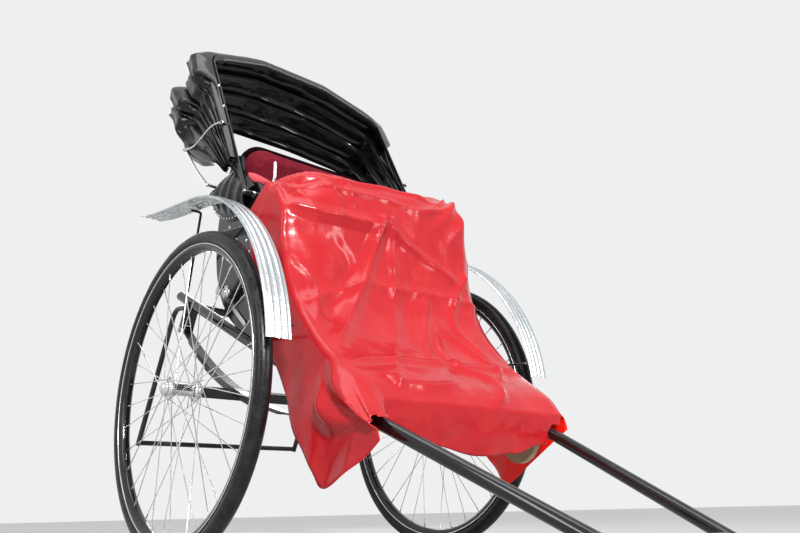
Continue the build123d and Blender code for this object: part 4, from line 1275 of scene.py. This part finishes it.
# The drop over the nose: its hem's height at places across it, and where the shafts cut it short.
DROP_TOP = 0.272
DROP_HEM = ((-0.36, 0.205), (-0.15, 0.145), (0.05, 0.118), (0.22, 0.132), (0.36, 0.172))
DROP_NOTCH = (0.362, 0.388)
SHAFT_COVER = 0.238
FRONT_SWELL = 0.034
FLAP_OUT, FLAP_WAVE = 0.012, 0.020

CREASE_LINE = 0.010
CREASE_SHARP = 0.0036
LOWEST_CREASE = -0.007
GATHER_COUNT = 9.0
GATHER_HEIGHT = 0.015

# Creases as points across the sheet and down it from its top edge, each with its height and its
# half width.
CREASES = (
    (0.0075, 0.040, ((-0.445, 0.640), (-0.405, 0.639), (-0.31, 0.594), (-0.165, 0.530))),
    (0.0070, 0.036, ((-0.165, 0.530), (-0.02, 0.526), (0.145, 0.515), (0.375, 0.515),
                     (0.44, 0.52))),
    (0.0060, 0.034, ((0.0, 0.21), (0.0, 0.294), (-0.005, 0.409), (-0.035, 0.571))),
    (0.0050, 0.034, ((-0.035, 0.571), (-0.1, 0.752), (-0.245, 0.974), (-0.29, 1.08))),
    (0.0100, 0.030, ((0.145, 0.526), (0.07, 0.69), (-0.005, 0.862))),
    (-0.0035, 0.012, ((-0.05, 1.061), (-0.06, 1.12), (-0.07, 1.19))),
    (0.0190, 0.045, ((-0.045, 0.24), (-0.06, 0.288), (-0.165, 0.526), (-0.285, 0.715),
                     (-0.405, 0.87))),
    (0.0170, 0.040, ((-0.43, 0.20), (-0.36, 0.262), (-0.285, 0.288), (-0.06, 0.280))),
    (0.0120, 0.034, ((-0.045, 0.262), (0.09, 0.338), (0.205, 0.388), (0.33, 0.44))),
    (0.0110, 0.030, ((-0.405, 0.965), (-0.255, 0.922), (0.025, 0.892), (0.31, 0.876),
                     (0.43, 0.87))),
    (0.0140, 0.034, ((0.14, 0.639), (0.08, 0.785), (0.095, 0.907), (0.185, 0.974), (0.145, 1.079),
                     (0.06, 1.119))),
    (0.0100, 0.030, ((0.14, 0.651), (0.235, 0.764), (0.30, 0.88), (0.225, 0.981))),
    (-0.0110, 0.040, ((-0.30, 0.36), (-0.22, 0.47), (-0.30, 0.60), (-0.37, 0.74))),
    (0.0080, 0.026, ((-0.44, 0.44), (-0.37, 0.56), (-0.40, 0.72))),
    (0.0090, 0.030, ((0.42, 0.36), (0.30, 0.50), (0.24, 0.66), (0.33, 0.80))),
    (-0.0080, 0.034, ((0.10, 0.42), (0.02, 0.60), (-0.06, 0.80))),
    (0.0090, 0.022, ((-0.40, 0.08), (-0.22, 0.115), (0.02, 0.10), (0.26, 0.12))),
    (0.0070, 0.018, ((-0.42, 0.12), (-0.26, 0.17), (-0.05, 0.175), (0.14, 0.20))),
    (0.0080, 0.022, ((0.42, 0.07), (0.28, 0.16), (0.10, 0.20))),
    (0.0100, 0.028, ((-0.35, 1.02), (-0.20, 1.06), (0.0, 1.03))),
)


def smooth_creases():
    """The creases as smooth lines, each with the box that it lies in."""
    made = []
    for rise, half_width, points in CREASES:
        line = [(point.x, point.y) for point in spline(points, 4)]
        xs, downs = zip(*line)
        box = (
            min(xs) - half_width, max(xs) + half_width,
            min(downs) - half_width, max(downs) + half_width,
        )
        made.append((rise, half_width, line, box))
    return made


def crease_height(creases, x, down):
    """Height of the folds at a place across the sheet and down it."""
    height = 0.0
    for rise, half_width, points, (left, right, top, foot) in creases:
        if not (left < x < right and top < down < foot):
            continue
        nearest, share = half_width, 0.0
        count = len(points) - 1
        for number, ((x0, d0), (x1, d1)) in enumerate(zip(points, points[1:])):
            dx, dd = x1 - x0, d1 - d0
            along = min(max(((x - x0) * dx + (down - d0) * dd) / (dx * dx + dd * dd), 0.0), 1.0)
            far = hypot(x - x0 - dx * along, down - d0 - dd * along)
            if far < nearest:
                nearest, share = far, (number + along) / count
        if nearest < half_width:
            ends = smooth_step(share, 0.0, 0.12) * (1 - smooth_step(share, 0.88, 1.0))
            crest = max(0.0, 1 - nearest / CREASE_LINE) * CREASE_SHARP
            height += (0.25 + 0.75 * ends) * (rise * (1 - nearest / half_width) ** 1.12 + crest)
    return height


def crumple(x, down):
    """Flat facets with soft valleys, as thin vinyl makes."""
    large = abs(ruffle(x * 5.2 + down * 1.3, down * 4.1, 0.0))
    small = abs(ruffle(x * 10.5, down * 9.0 - x * 4.0, 5.0))
    fine = abs(ruffle(x * 23.0 + down * 9.0, down * 19.0, 9.0))
    return 0.0090 * (0.5 - large) + 0.0022 * (0.4 - small) + 0.0004 * (0.4 - fine)


def gather_height(x, down):
    """Folds that run out from each hook."""
    height = 0.0
    for side in SIDES.values():
        dx, dd = x - side * (BODY_HALF - 0.008), down + 0.01
        reach = hypot(dx, dd)
        fade = (1 - smooth_step(reach, 0.10, 0.46)) * smooth_step(reach, 0.0, 0.06)
        turn = atan2(dd, -side * dx)
        turn += 0.35 * ruffle(x * 5, down * 5, side) + 0.12 * reach
        height += GATHER_HEIGHT * fade * (0.62 - abs(sin(turn * GATHER_COUNT)))
    return height


def crown_share(x):
    """How far the sheet has risen from the body's edge to its crown, slower on the right."""
    return smooth_step(x + COVER_HALF, -0.03, 0.17) * smooth_step(COVER_HALF - x, -0.02, 0.085)


def corner_shift(x, down):
    """How far the right front corner reaches ahead over its shaft, and falls there."""
    reach = CORNER_REACH * smooth_step(down, *CORNER_DOWN) * smooth_step(-x, *CORNER_ACROSS)
    return Vector((-reach, -CORNER_FALL * reach, 0))


def cover_line(low, high, out, down, creases, settings):
    """The sheet between its two flaps at one place down it, from its edge's and crown's place."""
    line = []
    for share in shares(ACROSS_STEPS):
        x = INNER_HALF * (2 * share - 1)
        tilt = (0.02 + 0.08 * x) * smooth_step(high.y, 0.68, 0.82) * crown_share(x)
        near_edge = smooth_step(INNER_HALF - abs(x), 0.0, 0.03)
        lift = crease_height(creases, x, down) * (0.3 + 0.7 * near_edge) + gather_height(x, down)
        lift = (lift + crumple(x, down) * near_edge) * settings.crease
        lift *= 1 - 0.8 * smooth_step(down, 1.07, 1.12)
        flat = low.lerp(high, crown_share(x)) + Vector((0, tilt, 0))
        flat += out * max(lift, LOWEST_CREASE) + corner_shift(x, down)
        line.append(ride(x, flat.x, flat.y))
    return line


def cover_flap(side, start, hem, top, down):
    """The flap at one place down the sheet, from its rounded edge to its hem."""
    drop = (start - hem).length
    rise = top - ride(side * INNER_HALF, start.x, start.y)
    flap = []
    for share in shares(FLAP_STEPS)[1:]:
        flat = start.lerp(hem, share)
        wave = ruffle(flat.x * 5 + side, flat.y * 3, side * 2.0)
        wave += 0.5 * ruffle(flat.x * 13 + side, flat.y * 5, side * 4.0)
        bend = min(1.0, share * drop / (COVER_ROUND * 1.5))
        swell = 0.0
        if side < 0:
            swell = FRONT_SWELL * smooth_step(-flat.x, 0.55, 0.66)
            swell *= sin(pi * min(share / 0.62, 1.0)) ** 0.8
            swell *= 1 - 0.55 * smooth_step(down, 1.06, 1.12)
            swell *= 1 + 0.45 * sin(share * 21 + flat.x * 30)
        out = COVER_ROUND * sin(bend * pi / 2) + (FLAP_OUT + FLAP_WAVE * wave) * share + swell
        place = ride(side * (INNER_HALF + out), flat.x, flat.y)
        place += rise * (1 - smooth_step(share, 0.0, 0.25))
        flap.append(place)
    return flap


def cover_drop(nose):
    """The sheet's front end, hanging from the nose and cut short over both shafts."""
    over_shafts = [smooth_step(abs(point.x), *DROP_NOTCH) for point in nose]
    rows = [nose]
    for share in shares(DROP_STEPS)[1:]:
        line = []
        for point, over in zip(nose, over_shafts):
            hem_z = table_curve(DROP_HEM, point.x)
            hem_z += (SHAFT_COVER - hem_z) * over
            wave = 0.010 * ruffle(point.x * 7, share * 1.5, 9) * share
            wave += 0.006 * ruffle(point.x * 19, share * 2.5, 2) * share
            reach = (0.024 * share ** 0.7 - wave) * (1 - 0.7 * over)
            top_z = DROP_TOP - (CORNER_FALL * CORNER_REACH * over if point.x < 0 else 0)
            line.append(point + ride(0, -reach, (hem_z - top_z) * share) - ride(0, 0, 0))
        rows.append(line)
    return rows


def make_cover(settings):
    """A stiff red sheet from hook to hook, over the arms, down to the nose and both sides."""
    crown, edge, right, left = (spline(line, ROW_STEPS) for line in zip(*COVER_ROWS))
    creases = smooth_creases()
    rows = []
    down = 0.0
    for index, (high, low) in enumerate(zip(crown, edge)):
        before = crown[max(index - 1, 0)]
        down += (high - before).length
        ahead = (crown[min(index + 1, len(crown) - 1)] - before).normalized()
        out = Vector((-ahead.y, ahead.x, 0))
        out = out if out.y - out.x > 0 else -out
        line = cover_line(low, high, out, down, creases, settings)
        flaps = []
        for side, hem, top in ((-1, right[index], line[0]), (1, left[index], line[-1])):
            start = low.lerp(high, crown_share(side * INNER_HALF))
            start += corner_shift(side * INNER_HALF, down)
            flaps.append(cover_flap(side, start, hem, top, down))
        rows.append(flaps[0][::-1] + line + flaps[1])
    shape = Shape()
    shape.grid(rows)
    shape.grid(cover_drop(rows[-1][FLAP_STEPS:-FLAP_STEPS]))
    piece = shape.object(
        "lap_cover_sheet", [FINISHES["red_vinyl"], FINISHES["red_under"]], sharp=80, merge=1e-5)
    # The inner faces take the darker red underside finish, which is painted shade.
    modify(
        piece, "SOLIDIFY", thickness=settings.sheet, offset=-1.0, material_offset=1,
        use_even_offset=False)
    settle(piece, "carriage", "red_vinyl", "lap_cover")


class RICKSHAW_OT_cover(Operator):
    """Drapes the red lap cover over the hooks, the side boards and the nose"""

    bl_idname = "rickshaw.cover"
    bl_label = "Lap cover"

    def execute(self, context):
        make_cover(context.scene.rickshaw_cover)
        return {"FINISHED"}


# Seat

class SeatSettings(PropertyGroup):
    """Sizes of the seat's upholstery."""

    pressure: FloatProperty(
        name="Pressure", description="Air pressure that fills the cushions", default=4.0, min=0)
    swell: length_setting("Swell", "How far a filled cushion may stand out", 0.012)


VOXEL = 0.006
CLOTH_FRAMES = 20
CUSHION_INSET = 0.004
ARM_INSET = 0.002


def filled(node, finish, inset, settings):
    """A cushion in a solid's place: its form remeshed, filled with air and smoothed."""
    name = f"{node}_velvet"
    mesh = frame["nodes"][node].data.copy()
    mesh.name = name
    piece = new_object(name, mesh)
    low, high = (Vector(corner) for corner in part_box(node))
    middle = (low + high) / 2
    for vertex in mesh.vertices:
        vertex.co -= (vertex.co - middle).normalized() * inset
    mesh.materials.clear()
    mesh.materials.append(finish)
    modify(piece, "REMESH", mode="VOXEL", voxel_size=VOXEL)
    rest = [vertex.co.copy() for vertex in piece.data.vertices]
    cloth = piece.modifiers.new("cloth", "CLOTH")
    cloth.settings.use_pressure = True
    cloth.settings.uniform_pressure_force = settings.pressure
    cloth.settings.effector_weights.gravity = 0.0
    for number in range(1, CLOTH_FRAMES + 1):
        bpy.context.scene.frame_set(number)
    bake(piece)
    bpy.context.scene.frame_set(1)
    for vertex, home in zip(piece.data.vertices, rest):
        move = vertex.co - home
        if move.length > settings.swell:
            vertex.co = home + move * (settings.swell / move.length)
    modify(piece, "SMOOTH", iterations=6, factor=0.5)
    piece.data.shade_smooth()
    settle(piece, "carriage", "red_velvet", node)


class RICKSHAW_OT_seat(Operator):
    """Upholsters the seat, the back and the arms"""

    bl_idname = "rickshaw.seat"
    bl_label = "Seat"

    def execute(self, context):
        settings = context.scene.rickshaw_seat
        for node in ("seat_cushion", "back_cushion"):
            filled(node, FINISHES["red_velvet"], CUSHION_INSET, settings)
        for name in SIDES:
            filled(f"arm_pad_{name}", FINISHES["arm_velvet"], ARM_INSET, settings)
        return {"FINISHED"}


# Fittings

class FittingSettings(PropertyGroup):
    """Sizes of the small fittings."""

    bolt: length_setting("Bolt", "Radius of a bolt's head", 0.0062)
    nail: length_setting("Nail", "Radius of a dome-headed nail", 0.0034)
    iron: length_setting("Iron", "Radius of the hood's folding irons", 0.0056)
    sway: length_setting("Sway", "How far a folding iron curves from a straight line", 0.016)


# Ride places (y, z) on the body's side, and of the irons' pins.
SIDE_BOLTS = (
    (0.247, 0.527), (0.165, 0.539), (0.119, 0.505), (0.330, 0.560), (0.060, 0.470), (0.130, 0.570),
)
BOSS_PLACE = (0.209, 0.327)
SPRING_EYES = ((-0.470, 0.095), (0.490, 0.095))
IRON_BOW_ALONG = 0.390
IRON_BOW_PIN = (
    IRON_BOW_ALONG * cos(radians(BOW_ANGLES[0])) + PIVOT_Y,
    IRON_BOW_ALONG * sin(radians(BOW_ANGLES[0])) + PIVOT_Z,
)
IRON_KNUCKLE = (0.833, 0.811)
IRON_FOOT = (0.518, 0.694)
IRON_STEP = 0.0065
IRON_STEPS = 24
KNUCKLE_PIN_R = 0.0039
# Distances along the front bow and the strap, the strap's with the angle in degrees there.
BOW_KNOBS = (0.507, 0.645)
STRAP_LINE = ((0.507, 34.6), (0.47, 32.6), (0.42, 30.8), (0.36, 28.6), (0.312, 26.2))
STRAP_X = 0.424
STRAP_HALF = 0.0105
STRAP_SHEET = 0.0026
NAIL_PITCH, NAIL_OUT, NAIL_UP = 0.024, 0.0125, 0.009
# Radius and height of the knobs: on the front bow, on the straps and over the knuckle's pin.
BOW_KNOB = (0.0074, 0.0066)
STRAP_KNOB = (0.0072, 0.0056)
KNUCKLE_KNOB = (0.0078, 0.0056)
# Profiles as (along, radius): the boss and the irons' eyes in metres, the rest as shares of the
# radius of what they head.
BOSS_PROFILE = (
    (-0.001, 0.026), (0.003, 0.026), (0.0045, 0.02418), (0.005, 0.0182), (0.010, 0.01612),
    (0.014, 0.01092), (0.0155, 0.00416), (0.0158, 0.0001),
)
EYE_PROFILE = (
    (-0.0028, 0.0044), (-0.0028, 0.0078), (-0.0018, 0.0086), (0.0018, 0.0086), (0.0028, 0.0078),
    (0.0028, 0.0044),
)
DOME_PROFILE = ((0.0, 1.0), (0.45, 0.9), (0.82, 0.55), (1.0, 0.02))
WASHER_PROFILE = ((-0.001, 1.55), (0.0012, 1.55), (0.0016, 1.45))
HEAD_PROFILE = ((0.75, 1.0), (0.95, 0.8))
TIP_R = 0.0001


def skin_x(name, side, y, z):
    """How far out a solid's outer face is at a ride place beside it, or nothing."""
    node = frame["nodes"][name]
    back = node.matrix_world.inverted()
    start = ride(side * 0.9, y, z)
    hit, place, _, _ = node.ray_cast(back @ start, back.to_3x3() @ Vector((-side, 0, 0)))
    return (node.matrix_world @ place).x if hit else None


def dome(shape, centre, axis, radius, height):
    """A low round head, its foot a little way into what it sits on."""
    profile = [(-0.001, radius)]
    profile += [(height * along, radius * share) for along, share in DOME_PROFILE]
    shape.lathe(centre, axis, profile, 20)


def bolt(shape, centre, axis, radius):
    """A six-sided head on a washer."""
    washer = [(along, radius * share) for along, share in WASHER_PROFILE]
    shape.lathe(centre, axis, washer + [(washer[-1][0], TIP_R)], 24)
    head = [(0.001, radius)] + [(radius * along, radius * share) for along, share in HEAD_PROFILE]
    shape.lathe(centre, axis, head + [(head[-1][0], TIP_R)], 6)


def iron_rod(shape, side, near, start, finish, settings, turns):
    """A round iron with a flattened eye at each end, swayed from the straight line."""
    x = side * (IRON_X + near)
    first, last = Vector((*start, 0)), Vector((*finish, 0))
    across = (last - first).normalized()
    across = Vector((-across.y, across.x, 0))
    path, radii = [], []
    for share in shares(IRON_STEPS):
        sway = settings.sway * sin(turns * pi * share) * (1 if turns > 1 else -0.4)
        flat = first.lerp(last, share) + across * sway
        path.append(ride(x, flat.x, flat.y))
        radii.append(settings.iron * (1 - 0.25 * sin(pi * share)))
    shape.tube(path, radii, 12)
    for y, z in (start, finish):
        shape.lathe(ride(x, y, z), (1, 0, 0), EYE_PROFILE, 28, closed=True)


def make_irons(settings):
    """The irons that hold the hood, with the pin of their knuckle on the upper ones."""
    for name, near, start, turns in (
        ("upper_irons", IRON_STEP, IRON_BOW_PIN, 2), ("lower_irons", 0.0, IRON_FOOT, 1),
    ):
        shape = Shape()
        for side in SIDES.values():
            iron_rod(shape, side, near, start, IRON_KNUCKLE, settings, turns)
            if name == "upper_irons":
                ends = [
                    ride(side * (IRON_X + out), *IRON_KNUCKLE) for out in (-0.0030, near + 0.006)]
                shape.tube(ends, KNUCKLE_PIN_R, 14)
                head = ride(side * (IRON_X + near + 0.0045), *IRON_KNUCKLE)
                dome(shape, head, (side, 0, 0), *KNUCKLE_KNOB)
        shape.settled(f"hood_{name}_rods", "plated_iron", name, name)


def make_straps():
    """A leather strap that hangs inside the hood on each side, with a knob at both ends."""
    for name, side in SIDES.items():
        rows, knobs = [], Shape()
        line = spline([(along, angle / 100, 0) for along, angle in STRAP_LINE], 8)
        for index, place in enumerate(line):
            share = index / (len(line) - 1)
            x = side * (STRAP_X - 0.008 * sin(pi * share))
            middle = hood_point(x, place.x, place.y * 100)
            across = (hood_point(x, place.x, place.y * 100 + 1) - middle).normalized()
            rows.append([middle + across * (STRAP_HALF * half) for half in (-1, -0.5, 0, 0.5, 1)])
        shape = Shape()
        shape.plate(rows, offset_grid(rows, STRAP_SHEET))
        shape.settled(f"hood_strap_{name}", "hood_leather", "hood_3", sharp=50)
        for along, angle in STRAP_LINE[3:]:
            x = side * (STRAP_X + 0.001)
            dome(knobs, hood_point(x, along, angle), (side, 0, 0), *STRAP_KNOB)
        knobs.settled(f"hood_strap_knobs_{name}", "plated_iron", "hood_3")


def make_bolts(settings):
    """Bolts and bosses on the body and the springs, and knobs on the front bow."""
    shape = Shape()
    for name, side in SIDES.items():
        out, panel = (side, 0, 0), f"body_side_{name}"
        for place in SIDE_BOLTS:
            x = skin_x(panel, side, *place)
            if x is not None:
                dome(shape, ride(x, *place), out, settings.bolt, settings.bolt * 0.8)
        x = skin_x(panel, side, *BOSS_PLACE)
        if x is not None:
            shape.lathe(ride(x, *BOSS_PLACE), out, BOSS_PROFILE, 40)
        for place in SPRING_EYES:
            x = skin_x("spring_hangers", side, *place)
            x = x or skin_x(f"leaf_spring_{name}", side, *place)
            if x is not None:
                bolt(shape, ride(x, *place), out, settings.bolt * 1.35)
    shape.settled("body_bolts", "plated_iron", "carriage")
    shape = Shape()
    for side in SIDES.values():
        for along in BOW_KNOBS:
            place = hood_point(side * (FRONT_BOW_X + 0.0006), along, BOW_ANGLES[0])
            dome(shape, place, (side, 0, 0), *BOW_KNOB)
    shape.settled("hood_bow_knobs", "plated_iron", "hood_1")


def make_nails(settings):
    """Dome-headed nails that hold the hood's skirts to the body."""
    shape = Shape()
    feet = even(spline(SKIRT_FOOT, SKIRT_STEPS), NAIL_PITCH)
    for side in SIDES.values():
        for foot in feet[1:-1]:
            place = ride(side * (BODY_HALF + NAIL_OUT), foot.x, foot.y + NAIL_UP)
            dome(shape, place, (side, 0, 0), settings.nail, settings.nail * 0.8)
    shape.settled("skirt_nails", "plated_iron", "carriage")


class RICKSHAW_OT_fittings(Operator):
    """Adds irons, straps, knobs, bolts and nails"""

    bl_idname = "rickshaw.fittings"
    bl_label = "Fittings"

    def execute(self, context):
        settings = context.scene.rickshaw_fitting
        context.view_layer.update()
        make_irons(settings)
        make_straps()
        make_bolts(settings)
        make_nails(settings)
        return {"FINISHED"}


# Panel and registration

class RICKSHAW_PT_panel(Panel):
    """Lists the rickshaw's makers and their settings"""

    bl_label = "Rickshaw"
    bl_idname = "RICKSHAW_PT_panel"
    bl_space_type = "VIEW_3D"
    bl_region_type = "UI"
    bl_category = "Rickshaw"

    def draw(self, context):
        for operator in OPERATORS:
            self.layout.operator(operator.bl_idname)
        for name, group in SETTINGS.items():
            box = self.layout.box()
            for key in group.__annotations__:
                box.prop(getattr(context.scene, name), key)


SETTINGS = {
    "rickshaw_stage": StageSettings,
    "rickshaw_finish": FinishSettings,
    "rickshaw_wheel": WheelSettings,
    "rickshaw_mudguard": MudguardSettings,
    "rickshaw_hood": HoodSettings,
    "rickshaw_cover": CoverSettings,
    "rickshaw_seat": SeatSettings,
    "rickshaw_fitting": FittingSettings,
}
OPERATORS = (
    RICKSHAW_OT_stage,
    RICKSHAW_OT_finishes,
    RICKSHAW_OT_wheels,
    RICKSHAW_OT_mudguards,
    RICKSHAW_OT_hood,
    RICKSHAW_OT_cover,
    RICKSHAW_OT_seat,
    RICKSHAW_OT_fittings,
)


def register():
    """Adds the settings, the makers and the panel to Blender."""
    for name, group in SETTINGS.items():
        bpy.utils.register_class(group)
        setattr(bpy.types.Scene, name, PointerProperty(type=group))
    for operator in OPERATORS:
        bpy.utils.register_class(operator)
    bpy.utils.register_class(RICKSHAW_PT_panel)


def unregister():
    """Takes them out again."""
    bpy.utils.unregister_class(RICKSHAW_PT_panel)
    for operator in reversed(OPERATORS):
        bpy.utils.unregister_class(operator)
    for name, group in SETTINGS.items():
        delattr(bpy.types.Scene, name)
        bpy.utils.unregister_class(group)


def main():
    """Makes every piece in order."""
    register()
    for operator in OPERATORS:
        group, call = operator.bl_idname.split(".")
        getattr(getattr(bpy.ops, group), call)()


if __name__ == "__main__":
    main()
